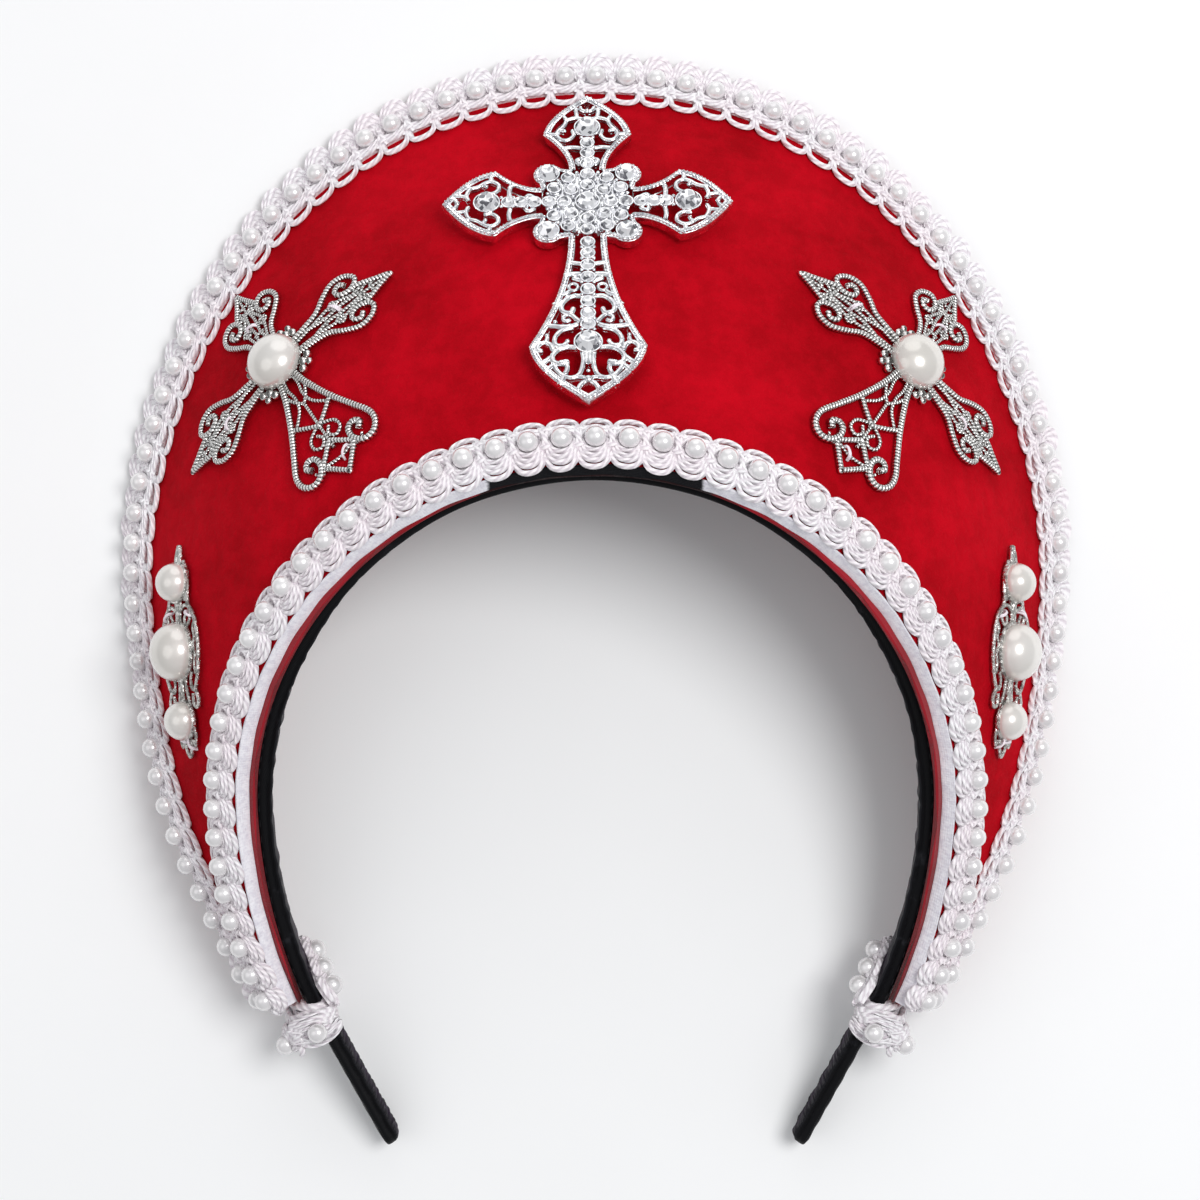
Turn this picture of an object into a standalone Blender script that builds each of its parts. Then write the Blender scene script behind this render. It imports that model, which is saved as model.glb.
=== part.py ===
"""French hood: a velvet crescent on a satin headband, trimmed with pearl braid and pierced metal crosses.

The hood lies on its back. +Z is up, +Y runs to the top of the crescent and +X to the right.
The rim of the crescent and the two tips of the headband rest on the plane z = 0.
"""

import math

import bmesh
import bpy
from mathutils import Matrix, Vector
from mathutils.bvhtree import BVHTree

MM = 0.001

# Inner edge of the crescent, seen from above: half an ellipse with a longer lower part, on a tilted plane.
INNER_HALF_WIDTH = 74.8 * MM
INNER_CENTRE_Y = -44.0 * MM
INNER_TOP_Y = 27.0 * MM
INNER_END_REACH = 95.2 * MM
INNER_END_ANGLE = math.radians(117.0)
INNER_TOP_HEIGHT = 66.0 * MM
INNER_PLANE_SLOPE = 0.3933

# Rim of the crescent, seen from above: a slightly squared ellipse whose two ends rise off the table.
RIM_HALF_WIDTH = 101.9 * MM
RIM_HALF_HEIGHT = 116.4 * MM
RIM_POWER = 2.08
RIM_END_ANGLE = math.radians(137.5)
RIM_END_LIFT = 11.0 * MM
RIM_LIFT_TURNS = (0.66, 0.86)
RIM_WAIST = 0.026
RIM_WAIST_TURNS = (0.55, 0.76, 0.88, 1.0)
VELVET_BULGE = 2.5 * MM
BULGE_FULL_WIDTH = 0.1

# Layers of the crescent.
BOARD = 2.6 * MM
LINING = 0.9 * MM
GAP = 0.3 * MM
STACK = BOARD + GAP + LINING
TURNED_EDGE = 3.5 * MM
TAPE = 0.5 * MM
CRESCENT_SPANS = 26

# Headband, seen from above: its curve and straight tails lie on a plane of their own.
HEADBAND_HALF_WIDTH = 69.6 * MM
HEADBAND_TOP_Y = 24.7 * MM
HEADBAND_END_REACH = 88.0 * MM
HEADBAND_END_ANGLE = math.radians(124.5)
HEADBAND_TAIL = 26.7 * MM
HEADBAND_TAIL_WAY = Vector((-0.447, -0.894))
HEADBAND_TIP_Y = -117.7 * MM
HEADBAND_TIP_HEIGHT = 8.75 * MM
HEADBAND_SLOPE = 0.3585
HEADBAND_THICKNESS = 2.8 * MM
HEADBAND_TOP_DEPTH = 23.0 * MM
HEADBAND_TIP_DEPTH = 9.2 * MM
HEADBAND_LEAN = math.radians(14.0)
HEADBAND_LEAN_PLACES = (0.25, 0.85)
SOFT_EDGE = 0.7 * MM
TIP_ROUNDING = 2.4 * MM
TIP_FULLNESS = 0.6
HEADBAND_CURVE_SPANS = 28
HEADBAND_TAIL_SPANS = 3

# Pearl braid.
PEARL = 4.0 * MM
PEARL_PITCH = 6.5 * MM
PEARL_SIDES = 10
PEARL_HEIGHT = 2.4 * MM
INNER_PEARL_LINE = 4.6 * MM
OUTER_PEARL_LINE = 4.1 * MM
BRAID_THICKNESS = 1.2 * MM
BRAID_TO_EDGE = 5.2 * MM
BRAID_TO_VELVET = 5.8 * MM
SCALLOP = 0.9 * MM

# Centre cross, in its own flat plane: y runs to the rim.
CROSS_TURN = -0.008
CROSS_ACROSS = 0.614
CROSS_THICKNESS = 2.2 * MM
# arm, quarter turns from the rim, neck distance, neck half width, shoulder distance, half width, tip distance
CROSS_ARMS = (
    ("top", 0, 9.6, 3.7, 20.3, 9.3, 32.0),
    ("left", 1, 9.6, 4.2, 19.4, 9.3, 30.4),
    ("bottom", 2, 9.6, 3.8, 40.2, 11.8, 54.5),
    ("right", 3, 9.6, 4.2, 19.4, 9.3, 30.4),
)
# distance along a short arm, offset to each side, length, width, turn in degrees
SHORT_ARM_GAPS = (
    (14.6, 3.6, 2.6, 1.3, 15),
    (18.2, 5.7, 3.0, 1.8, 35),
    (22.4, 5.6, 3.0, 1.9, -40),
    (26.2, 2.6, 2.6, 1.5, -35),
    (27.6, 0.0, 1.9, 1.3, 0),
)
LONG_ARM_GAPS = (
    (19.2, 3.0, 3.2, 1.1, 8),
    (25.2, 3.8, 4.4, 1.4, 8),
    (32.0, 5.0, 4.8, 2.0, 10),
    (39.6, 8.0, 3.6, 2.0, 25),
    (44.2, 6.2, 3.4, 2.2, -45),
    (45.8, 2.2, 2.8, 1.6, -20),
    (50.2, 0.0, 3.2, 1.7, 0),
)
CORNER_SEAT = 3.0
CORNER_REACH = 8.3
STONE_HEIGHT_SHARE = 0.38
# name, x, y, diameter of each main stone of the cross
MAIN_STONES = (
    ("cross_stone_centre", 0.0, 0.0, 4.4),
    ("cross_stone_corner_1", CORNER_REACH, CORNER_REACH, 4.4),
    ("cross_stone_corner_2", -CORNER_REACH, CORNER_REACH, 4.4),
    ("cross_stone_corner_3", -CORNER_REACH, -CORNER_REACH, 4.4),
    ("cross_stone_corner_4", CORNER_REACH, -CORNER_REACH, 4.4),
    ("cross_stone_top", 0.0, 22.2, 5.2),
    ("cross_stone_left", -21.2, 0.0, 5.2),
    ("cross_stone_right", 21.2, 0.0, 5.2),
    ("cross_stone_bottom", 0.0, -39.4, 5.4),
)

# Pierced crosses on the sides, laid on the velvet.
SIDE_CROSS_TURN = 0.352
SIDE_CROSS_ACROSS = 0.564
SIDE_CROSS_TWIST = math.radians(11.0)
SIDE_METAL = 1.1 * MM
SIDE_CLEARANCE = 0.6 * MM
SIDE_CABOCHON = 12.4 * MM
SIDE_CABOCHON_HEIGHT = 5.6 * MM
COLLAR_RADIUS = 7.6
# distance from the centre and half width along one edge of an arm
SHORT_ARM_EDGE = (
    (10.6, 2.8), (14.5, 5.6), (18.5, 8.0), (22.0, 7.2), (23.4, 4.2), (30.0, 0.0),
)
RIM_ARM_TIP = 25.4
LONG_ARM_EDGE = (
    (11.0, 3.0), (16.5, 6.0), (22.0, 9.6), (29.0, 10.6), (34.5, 9.6), (34.4, 3.2), (36.4, 0.0),
)
# distance along an arm, offset to each side, length, width, turn in degrees
SHORT_ARM_OPENINGS = (
    (13.4, 0.0, 3.4, 2.0, 0),
    (18.0, 4.6, 4.4, 3.2, 30),
    (20.0, 0.0, 4.0, 1.8, 0),
    (25.4, 0.0, 3.4, 2.0, 0),
)
LONG_ARM_OPENINGS = (
    (13.6, 0.0, 4.0, 2.4, 0),
    (19.6, 4.2, 5.0, 3.4, 22),
    (27.0, 6.8, 5.4, 3.4, 12),
    (26.4, 0.0, 5.6, 3.0, 0),
    (31.6, 3.2, 3.0, 2.4, 60),
)

# Pierced ornaments low on the sides, laid on the velvet.
ORNAMENT_TURN = 0.64
ORNAMENT_ACROSS = 0.492
ORNAMENT_TWIST = math.radians(36.0)
# distance from the middle along the ornament and half width of its edge, from its point to its loop
ORNAMENT_EDGE = (
    (22.5, 0.0), (19.5, 2.4), (13.0, 3.2), (9.0, 5.4), (5.0, 8.4), (0.0, 9.2),
    (-5.0, 8.6), (-9.0, 6.6), (-10.4, 3.0), (-16.0, 2.6), (-19.4, 2.4), (-22.5, 0.0),
)
ORNAMENT_OPENINGS = (
    (8.2, 3.0, 3.0, 1.6, 40),
    (3.4, 7.0, 4.0, 1.2, 20),
    (-3.4, 7.4, 3.8, 1.3, -6),
    (-7.8, 4.0, 2.2, 1.6, -30),
)
# name, distance from the middle, diameter, height
ORNAMENT_CABOCHONS = (
    ("top", 14.6, 8.4, 4.2),
    ("middle", 0.0, 12.4, 5.6),
    ("low", -14.6, 8.4, 4.2),
)

# Knotted braid round each end of the crescent and the headband.
WRAP_WALL = 1.6 * MM
WRAP_OUTER_WALL = 5.2 * MM
# place on the headband and the wrap's swell there
WRAP_SWELLS = ((0.956, 1.0), (0.969, 1.12), (0.989, 1.12), (1.003, 0.95))
# the braid's end runs on along the inner side of the band: its places and its depths from the front edge
WRAP_END_PLACES = (0.906, 0.93, 0.96)
WRAP_END_DEPTHS = (0.5 * MM, 11.0 * MM)
# place, which way the pearl faces in turns of 90 degrees, then x and z of its foot
WRAP_PEARLS = (
    (0.976, 0, -2.0, 0.4),
    (0.990, -1, -5.1, -3.0),
    (0.947, 1, 2.3, -2.6),
    (0.931, 1, 2.3, -6.0),
    (0.915, 1, 2.3, -9.4),
)


def smooth(value):
    value = min(1.0, max(0.0, value))
    return value * value * (3 - 2 * value)


def blend(value, start, end):
    return smooth((value - start) / (end - start))


def inner_edge(turn):
    """Point of the velvet's inner edge. turn runs from -1 at the left end to 1 at the right end."""
    angle = turn * INNER_END_ANGLE
    reach = INNER_TOP_Y - INNER_CENTRE_Y if math.cos(angle) > 0 else INNER_END_REACH
    y = INNER_CENTRE_Y + reach * math.cos(angle)
    height = INNER_TOP_HEIGHT + (y - INNER_TOP_Y) * INNER_PLANE_SLOPE
    return Vector((INNER_HALF_WIDTH * math.sin(angle), y, height))


def rim_edge(turn):
    """Point of the velvet's rim, as high as the layers under it need."""
    angle = turn * RIM_END_ANGLE
    lift = RIM_END_LIFT * blend(abs(turn), *RIM_LIFT_TURNS)
    start, full, hold, end = RIM_WAIST_TURNS
    waist = RIM_WAIST * blend(abs(turn), start, full) * (1 - blend(abs(turn), hold, end))
    square = abs(math.sin(angle)) ** RIM_POWER + abs(math.cos(angle)) ** RIM_POWER
    size = square ** (-1 / RIM_POWER) * (1 - waist)
    foot = Vector((RIM_HALF_WIDTH * math.sin(angle), RIM_HALF_HEIGHT * math.cos(angle), 0)) * size
    inner = inner_edge(turn)
    slope = math.atan2(inner.z - lift, (foot - inner).xy.length)
    foot.z = lift + STACK * math.cos(slope)
    return foot


def width_at(turn):
    return (rim_edge(turn) - inner_edge(turn)).length


def velvet_point(turn, across):
    """Point of the velvet face: across is 0 at the inner edge and 1 at the rim."""
    inner = inner_edge(turn)
    ruling = rim_edge(turn) - inner
    along = inner_edge(turn + 0.001) + rim_edge(turn + 0.001) - inner_edge(turn - 0.001) - rim_edge(turn - 0.001)
    out = ruling.cross(along).normalized()
    bulge = VELVET_BULGE * min(1.0, ruling.length / BULGE_FULL_WIDTH)
    return inner + ruling * across - out * bulge * math.sin(math.pi * min(1.0, max(0.0, across)))


def velvet_frame(turn, across):
    """Place on the velvet: x runs along the crescent, y to the rim and z out of the velvet."""
    up = (velvet_point(turn, across + 0.01) - velvet_point(turn, across - 0.01)).normalized()
    along = velvet_point(turn + 0.002, across) - velvet_point(turn - 0.002, across)
    out = along.cross(up).normalized()
    right = up.cross(out)
    frame = Matrix((right, up, out)).transposed().to_4x4()
    frame.translation = velvet_point(turn, across)
    return frame


def under_velvet(turn, across, depth):
    frame = velvet_frame(turn, across)
    return frame.translation - frame.col[2].xyz * depth


def headband_frame(place):
    """Place on the headband's front edge: place is 0 at the top, 1 and -1 where its straight tails start, 2 at a tip.

    x points into the head, y along the band to the right tip and z to the front. The band leans out to its back.
    """
    slope = math.atan(HEADBAND_SLOPE)
    side = -1 if place < 0 else 1
    angle = min(1.0, abs(place)) * HEADBAND_END_ANGLE
    reach = HEADBAND_TOP_Y - INNER_CENTRE_Y if math.cos(angle) > 0 else HEADBAND_END_REACH
    spot = Vector((HEADBAND_HALF_WIDTH * math.sin(angle), INNER_CENTRE_Y + reach * math.cos(angle)))
    way = Vector((HEADBAND_HALF_WIDTH * math.cos(angle), -reach * math.sin(angle)))
    if abs(place) > 1:
        spot += HEADBAND_TAIL_WAY * HEADBAND_TAIL * (abs(place) - 1)
        way = HEADBAND_TAIL_WAY
    point = Vector((side * spot.x, spot.y, HEADBAND_TIP_HEIGHT + (spot.y - HEADBAND_TIP_Y) * HEADBAND_SLOPE))
    along = Vector((way.x, side * way.y, side * way.y * HEADBAND_SLOPE)).normalized()
    front = Vector((0, -math.sin(slope), math.cos(slope)))
    frame = Matrix((along.cross(front), along, front)).transposed().to_4x4()
    frame.translation = point
    return frame @ Matrix.Rotation(HEADBAND_LEAN * blend(abs(place), *HEADBAND_LEAN_PLACES), 4, "Y")


def headband_depth(place):
    """Width of the band from its front edge to its back edge."""
    taper = smooth(abs(place) / 1.6)
    return HEADBAND_TOP_DEPTH + (HEADBAND_TIP_DEPTH - HEADBAND_TOP_DEPTH) * taper


def material(name, colour, roughness, metallic=0.0):
    made = bpy.data.materials.new(name)
    made.use_nodes = True
    shader = made.node_tree.nodes["Principled BSDF"]
    shader.inputs["Base Color"].default_value = (*colour, 1)
    shader.inputs["Roughness"].default_value = roughness
    shader.inputs["Metallic"].default_value = metallic
    return made


def add_object(name, mesh, finish, collection):
    made = bpy.data.objects.new(name, mesh)
    mesh.materials.clear()
    mesh.materials.append(finish)
    collection.objects.link(made)
    return made


def loft(name, rings):
    """Closed mesh through rings of points, with a flat cap on each end."""
    shape = bmesh.new()
    loops = [[shape.verts.new(point) for point in ring] for ring in rings]
    for first, second in zip(loops, loops[1:]):
        for index, corner in enumerate(first):
            after = (index + 1) % len(first)
            shape.faces.new((corner, first[after], second[after], second[index]))
    shape.faces.new(reversed(loops[0]))
    shape.faces.new(loops[-1])
    return finish_mesh(name, shape)


def finish_mesh(name, shape):
    """Mesh of the shape, merged, cut into triangles and facing out."""
    bmesh.ops.remove_doubles(shape, verts=shape.verts, dist=0.002 * MM)
    bmesh.ops.triangulate(shape, faces=shape.faces)
    bmesh.ops.recalc_face_normals(shape, faces=shape.faces)
    mesh = bpy.data.meshes.new(name)
    shape.to_mesh(mesh)
    shape.free()
    return mesh


def flat_plate(name, outline, gaps, thickness):
    """Mesh of a flat plate on z = 0 with gaps cut through.

    The curve is filled at a thousand times its size, in mm, because the fill merges points that are too near.
    """
    curve = bpy.data.curves.new(name, "CURVE")
    curve.dimensions = "2D"
    curve.fill_mode = "BOTH"
    curve.extrude = thickness / MM / 2
    for ring in (outline, *gaps):
        spline = curve.splines.new("POLY")
        spline.points.add(len(ring) - 1)
        for point, (x, y) in zip(spline.points, ring):
            point.co = (x, y, 0, 1)
        spline.use_cyclic_u = True
    guide = bpy.data.objects.new(name + "_outline", curve)
    bpy.context.scene.collection.objects.link(guide)
    graph = bpy.context.evaluated_depsgraph_get()
    shape = bmesh.new()
    shape.from_mesh(bpy.data.meshes.new_from_object(guide.evaluated_get(graph)))
    bpy.data.objects.remove(guide)
    bmesh.ops.remove_doubles(shape, verts=shape.verts, dist=0.002)
    faces = [face for face in shape.faces if abs(face.normal.z) > 0.9]
    inside = [edge for edge in shape.edges if sum(abs(face.normal.z) > 0.9 for face in edge.link_faces) == 2]
    bmesh.ops.beautify_fill(shape, faces=faces, edges=inside)
    bmesh.ops.scale(shape, verts=shape.verts, vec=(MM, MM, MM))
    bmesh.ops.translate(shape, verts=shape.verts, vec=(0, 0, thickness / 2))
    return finish_mesh(name, shape)


def oval(x, y, length, width, turn, points=5):
    """Ring of points round an oval gap."""
    angle = math.radians(turn)
    ring = []
    for step in range(points):
        around = 2 * math.pi * step / points
        along, aside = length / 2 * math.cos(around), width / 2 * math.sin(around)
        ring.append((x + along * math.cos(angle) - aside * math.sin(angle),
                     y + along * math.sin(angle) + aside * math.cos(angle)))
    return ring


def quarter_turned(point, quarters):
    """The point turned anticlockwise by quarter turns, for an arm drawn along +y."""
    x, y = point
    for _ in range(quarters):
        x, y = -y, x
    return x, y


def arm_gaps(table, quarters):
    """Gaps of an arm drawn along +y; those off its middle line come in pairs."""
    gaps = []
    for distance, aside, length, width, turn in table:
        for side in ((1, -1) if aside else (1,)):
            ring = oval(side * aside, distance, length, width, 90 - side * turn)
            gaps.append([quarter_turned(point, quarters) for point in ring])
    return gaps


def mirrored_edge(edge):
    """Points up the right side of an arm, over its tip and down the left side."""
    right = [(half, distance) for distance, half in edge]
    left = [(-half, distance) for distance, half in reversed(edge) if half]
    return right + left


def laid_on(mesh, frame, surface, clearance):
    """Move a flat mesh to the frame and down on to the surface, point by point."""
    out = frame.col[2].xyz
    for vertex in mesh.vertices:
        flat = frame @ Vector((vertex.co.x, vertex.co.y, 0))
        hit = surface.ray_cast(flat + out * 0.02, -out)[0]
        vertex.co = (hit or flat) + out * (clearance + vertex.co.z)


def mirrored_copy(mesh, name):
    """Copy of the mesh on the other side of the hood."""
    copy = mesh.copy()
    copy.name = name
    copy.transform(Matrix.Scale(-1, 4, (1, 0, 0)))
    copy.flip_normals()
    return copy


def boolean(operation, body, other, name):
    """Mesh of the body after an exact Boolean with the other mesh."""
    main = bpy.data.objects.new(name + "_body", body)
    tool = bpy.data.objects.new(name + "_tool", other)
    bpy.context.scene.collection.objects.link(main)
    bpy.context.scene.collection.objects.link(tool)
    step = main.modifiers.new("step", "BOOLEAN")
    step.operation = operation
    step.solver = "EXACT"
    step.object = tool
    bpy.context.view_layer.update()
    graph = bpy.context.evaluated_depsgraph_get()
    shape = bmesh.new()
    shape.from_mesh(bpy.data.meshes.new_from_object(main.evaluated_get(graph)))
    bpy.data.objects.remove(main)
    bpy.data.objects.remove(tool)
    return finish_mesh(name, shape)


def many(shapes, name):
    """One mesh of many separate shapes; each is a list of rings, from its foot to its point."""
    whole = bmesh.new()
    for rings in shapes:
        loops = [[whole.verts.new(point) for point in ring] for ring in rings]
        whole.faces.new(reversed(loops[0]))
        add_rings(whole, loops)
        if len(loops[-1]) > 1:
            whole.faces.new(loops[-1])
    return finish_mesh(name, whole)


def add_rings(shape, loops):
    """Faces from ring to ring of corners; a ring of one corner is a point."""
    for first, second in zip(loops, loops[1:]):
        for index, corner in enumerate(first):
            after = (index + 1) % len(first)
            if len(second) == 1:
                shape.faces.new((corner, first[after], second[0]))
            else:
                shape.faces.new((corner, first[after], second[after], second[index]))


def turned_rings(frame, profile, sides):
    """Rings round the z axis of the frame, one for each (radius, height) of the profile."""
    rings = []
    for radius, height in profile:
        count = sides if radius else 1
        rings.append([frame @ Vector((radius * math.cos(2 * math.pi * step / sides),
                                      radius * math.sin(2 * math.pi * step / sides), height))
                      for step in range(count)])
    return rings


def pearl_profile(foot):
    """Radius and height of a pearl's rings, from where the braid holds it to its top."""
    radius = PEARL / 2
    return [(radius, foot), (radius * 0.8, PEARL_HEIGHT + radius * 0.6), (0, PEARL_HEIGHT + radius)]


def cabochon_profile(diameter, height):
    radius = diameter / 2
    return [(radius, 0), (radius * 0.78, height * 0.7), (0, height)]


def stone_profile(diameter, height):
    """Girdle and table of a cut stone, with the facets between them."""
    radius = diameter / 2
    return [(radius, 0), (radius * 0.6, height)]


def crescent_mesh():
    """Velvet-covered board, its rim turned under to the depth of the lining."""
    rings = []
    for step in range(CRESCENT_SPANS + 1):
        turn = 2 * step / CRESCENT_SPANS - 1
        fold = 1 - TURNED_EDGE / width_at(turn)
        face = [velvet_point(turn, across) for across in (0, 0.25, 0.5, 0.75, 1)]
        back = [under_velvet(turn, across, depth) for across, depth in
                ((1, STACK), (fold, STACK), (fold, BOARD), (0.5 * fold, BOARD), (0, BOARD))]
        rings.append(face + back)
    return loft("crescent", rings)


def lining_mesh():
    rings = []
    for step in range(CRESCENT_SPANS + 1):
        turn = 2 * step / CRESCENT_SPANS - 1
        end = 1 - (TURNED_EDGE + GAP) / width_at(turn)
        stops = [end * part for part in (0, 0.5, 1)]
        rings.append([under_velvet(turn, across, BOARD + GAP) for across in stops]
                     + [under_velvet(turn, across, STACK) for across in reversed(stops)])
    return loft("crescent_lining", rings)


def tape_mesh():
    """Thin band standing on the board's inner edge."""
    rings = []
    for step in range(CRESCENT_SPANS + 1):
        turn = 2 * step / CRESCENT_SPANS - 1
        frame = velvet_frame(turn, 0)
        away = -frame.col[1].xyz
        front, back = frame.translation, under_velvet(turn, 0, BOARD)
        rings.append([front + away * GAP, back + away * GAP, back + away * (GAP + TAPE), front + away * (GAP + TAPE)])
    return loft("inner_edge_tape", rings)


def headband_mesh():
    """Flat band with softened edges, narrower to the tips and rounded off there."""
    places = [step / HEADBAND_CURVE_SPANS * 2 - 1 for step in range(HEADBAND_CURVE_SPANS + 1)]
    tail = [1 + step / HEADBAND_TAIL_SPANS for step in range(1, HEADBAND_TAIL_SPANS + 1)]
    places = [-place for place in reversed(tail)] + places + tail
    rings = [headband_ring(place, 1.0) for place in places]
    past_tip = 2 + TIP_ROUNDING / HEADBAND_TAIL
    rings.insert(0, headband_ring(-past_tip, TIP_FULLNESS))
    rings.append(headband_ring(past_tip, TIP_FULLNESS))
    return loft("headband", rings)


def headband_ring(place, fullness):
    """Outline of the band at one place, less deep where its fullness is under 1."""
    frame = headband_frame(place)
    depth = headband_depth(place)
    half = HEADBAND_THICKNESS / 2
    outline = ((half, -SOFT_EDGE), (half, SOFT_EDGE - depth), (0, -depth),
               (-half, SOFT_EDGE - depth), (-half, -SOFT_EDGE), (0, 0))
    return [frame @ Vector((x * fullness, 0, (z + depth / 2) * fullness - depth / 2)) for x, z in outline]


def pearl_turns(line):
    """Turns at which the pearls stand along a line on the velvet, and those half way between them.

    The pitch is fitted so that a whole number of them reaches the ends.
    """
    steps = 1200
    length, lengths, last = 0.0, [0.0], line(0)
    for step in range(1, steps + 1):
        point = line(step / steps)
        length += (point - last).length
        lengths.append(length)
        last = point
    halves = 2 * round((length / PEARL_PITCH - 0.5)) + 1
    turns = []
    for half in range(halves + 1):
        wanted = half * length / halves - 1e-9
        index = next(step for step, value in enumerate(lengths) if value >= wanted)
        turns.append(index / steps)
    return [-turn for turn in reversed(turns[1:])] + turns


def trim_across(turn, inner):
    """Across values of the braid at one turn: its free edge, its pearls and its velvet side."""
    width = width_at(turn)
    pearls = min(INNER_PEARL_LINE if inner else OUTER_PEARL_LINE, 0.25 * width)
    velvet_side = min(pearls + BRAID_TO_VELVET, 0.5 * width - GAP)
    places = [place / width for place in (pearls - BRAID_TO_EDGE, pearls, velvet_side)]
    return places if inner else [1 - place for place in places]


def above_velvet(turn, across, height):
    """Point over the velvet. Past an edge of the crescent it goes straight on."""
    held = min(1.0, max(0.0, across))
    frame = velvet_frame(turn, held)
    return frame @ Vector((0, (across - held) * width_at(turn), height))


def fill_between(shape, outer, inner, frame):
    """Triangles between a ring of corners and a smaller ring inside it, both anticlockwise in the frame."""
    flat = frame.inverted()

    def angle(corner):
        place = flat @ corner.co
        return math.atan2(place.y, place.x)

    outer, inner = sorted(outer, key=angle), sorted(inner, key=angle)
    first, second = 0, 0
    while first < len(outer) or second < len(inner):
        here, there = outer[first % len(outer)], inner[second % len(inner)]
        next_outer = angle(outer[first]) if first < len(outer) else math.inf
        next_inner = angle(inner[second]) if second < len(inner) else math.inf
        if next_outer < next_inner:
            shape.faces.new((outer[first - 1], here, inner[second - 1]))
            first += 1
        else:
            shape.faces.new((outer[first - 1], there, inner[second - 1]))
            second += 1


def trim_mesh(name, inner):
    """Braid band with a scalloped free edge and a row of pearls standing in it."""
    low, top = GAP, GAP + BRAID_THICKNESS

    def pearl_spot(turn):
        return velvet_frame(turn, trim_across(turn, inner)[1])

    turns = pearl_turns(lambda turn: pearl_spot(turn).translation)
    shape = bmesh.new()
    loops = []
    for turn in turns[::2]:
        edge, _, velvet_side = trim_across(turn, inner)
        corners = ((edge, low), (velvet_side, low), (velvet_side, top), (edge, top))
        loops.append([shape.verts.new(above_velvet(turn, across, height)) for across, height in corners])
    for turn, before, after in zip(turns[1::2], loops, loops[1:]):
        scallop = SCALLOP / width_at(turn) * (-1 if inner else 1)
        edge = trim_across(turn, inner)[0] + scallop
        edge_low, edge_top = [shape.verts.new(above_velvet(turn, edge, height)) for height in (low, top)]
        shape.faces.new((before[0], edge_low, after[0], after[1], before[1]))
        shape.faces.new((before[1], after[1], after[2], before[2]))
        shape.faces.new((before[0], edge_low, edge_top, before[3]))
        shape.faces.new((edge_low, after[0], after[3], edge_top))
        spot = pearl_spot(turn)
        rings = [[shape.verts.new(point) for point in ring]
                 for ring in turned_rings(spot, pearl_profile(top), PEARL_SIDES)]
        fill_between(shape, [before[2], before[3], edge_top, after[3], after[2]], rings[0], spot)
        add_rings(shape, rings)
    shape.faces.new(loops[0])
    shape.faces.new(reversed(loops[-1]))
    return finish_mesh(name, shape)


def centre_cross_outline():
    """Four flared arms with pointed tips, round seats at the corners between them."""
    ring = []
    for _, quarters, neck, neck_half, shoulder, half, tip in CROSS_ARMS:
        along = [(neck, neck_half)]
        for part in (0.4, 0.75):
            along.append((neck + (shoulder - neck) * part, neck_half + (half - neck_half) * part ** 2))
        along.append((shoulder, half))
        along.append((shoulder + (tip - shoulder) * 0.5, half * 0.6))
        along.append((tip, 0.0))
        right = [(width, distance) for distance, width in along]
        left = [(-width, distance) for distance, width in reversed(along[:-1])]
        arm = [quarter_turned(point, quarters) for point in right + left]
        ring += arm
        x, y = quarter_turned((-CORNER_REACH, CORNER_REACH), quarters)
        for turn in (-65, 0, 65):
            angle = math.atan2(y, x) + math.radians(turn)
            ring.append((x + CORNER_SEAT * math.cos(angle), y + CORNER_SEAT * math.sin(angle)))
    return ring


def centre_cross_mesh():
    gaps = []
    for name, quarters, *_ in CROSS_ARMS:
        gaps += arm_gaps(LONG_ARM_GAPS if name == "bottom" else SHORT_ARM_GAPS, quarters)
    return flat_plate("centre_cross", centre_cross_outline(), gaps, CROSS_THICKNESS)


def side_cross_mesh(surface, frame):
    """Pierced cross with three short arms and a long one, pressed to the velvet; its middle is open too."""
    ring = []
    gaps = [oval(0, 0, COLLAR_RADIUS, COLLAR_RADIUS, 0, points=8)]
    for quarters in range(4):
        long_arm = quarters == 2
        edge = LONG_ARM_EDGE if long_arm else SHORT_ARM_EDGE
        if quarters == 0:
            edge = (*SHORT_ARM_EDGE[:-1], (RIM_ARM_TIP, 0.0))
        edge = mirrored_edge(edge)
        ring += [quarter_turned(point, quarters) for point in edge]
        corner = COLLAR_RADIUS * math.sqrt(0.5)
        ring.append(quarter_turned((-corner, corner), quarters))
        openings = LONG_ARM_OPENINGS if long_arm else SHORT_ARM_OPENINGS
        gaps += arm_gaps(openings[:-1] if quarters == 0 else openings, quarters)
    mesh = flat_plate("side_cross", ring, gaps, SIDE_METAL)
    laid_on(mesh, frame, surface, SIDE_CLEARANCE)
    return mesh


def ornament_mesh(surface, frame):
    """Pierced ornament with a pointed top, two wings and a loop, pressed to the velvet."""
    mesh = flat_plate("side_ornament", mirrored_edge(ORNAMENT_EDGE), arm_gaps(ORNAMENT_OPENINGS, 0), SIDE_METAL)
    laid_on(mesh, frame, surface, SIDE_CLEARANCE)
    return mesh


def on_metal(frame, surface, y, radius):
    """Seat for a round stone on the pierced metal, square to the velvet there and clear of it all round."""
    flat = frame @ Vector((0, y, 0))
    out = frame.col[2].xyz
    hit, out, _, _ = surface.ray_cast(flat + out * 0.02, -out)
    right = frame.col[1].xyz.cross(out).normalized()
    seat = Matrix((right, out.cross(right), out)).transposed().to_4x4()
    seat.translation = hit
    highest = 0
    for step in range(12):
        angle = math.pi / 6 * step
        edge = seat @ Vector((radius * math.cos(angle), radius * math.sin(angle), 0.02))
        highest = max(highest, (surface.ray_cast(edge, -out)[0] - hit).dot(out))
    seat.translation = hit + out * (highest + SIDE_CLEARANCE + SIDE_METAL + GAP)
    return seat


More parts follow.
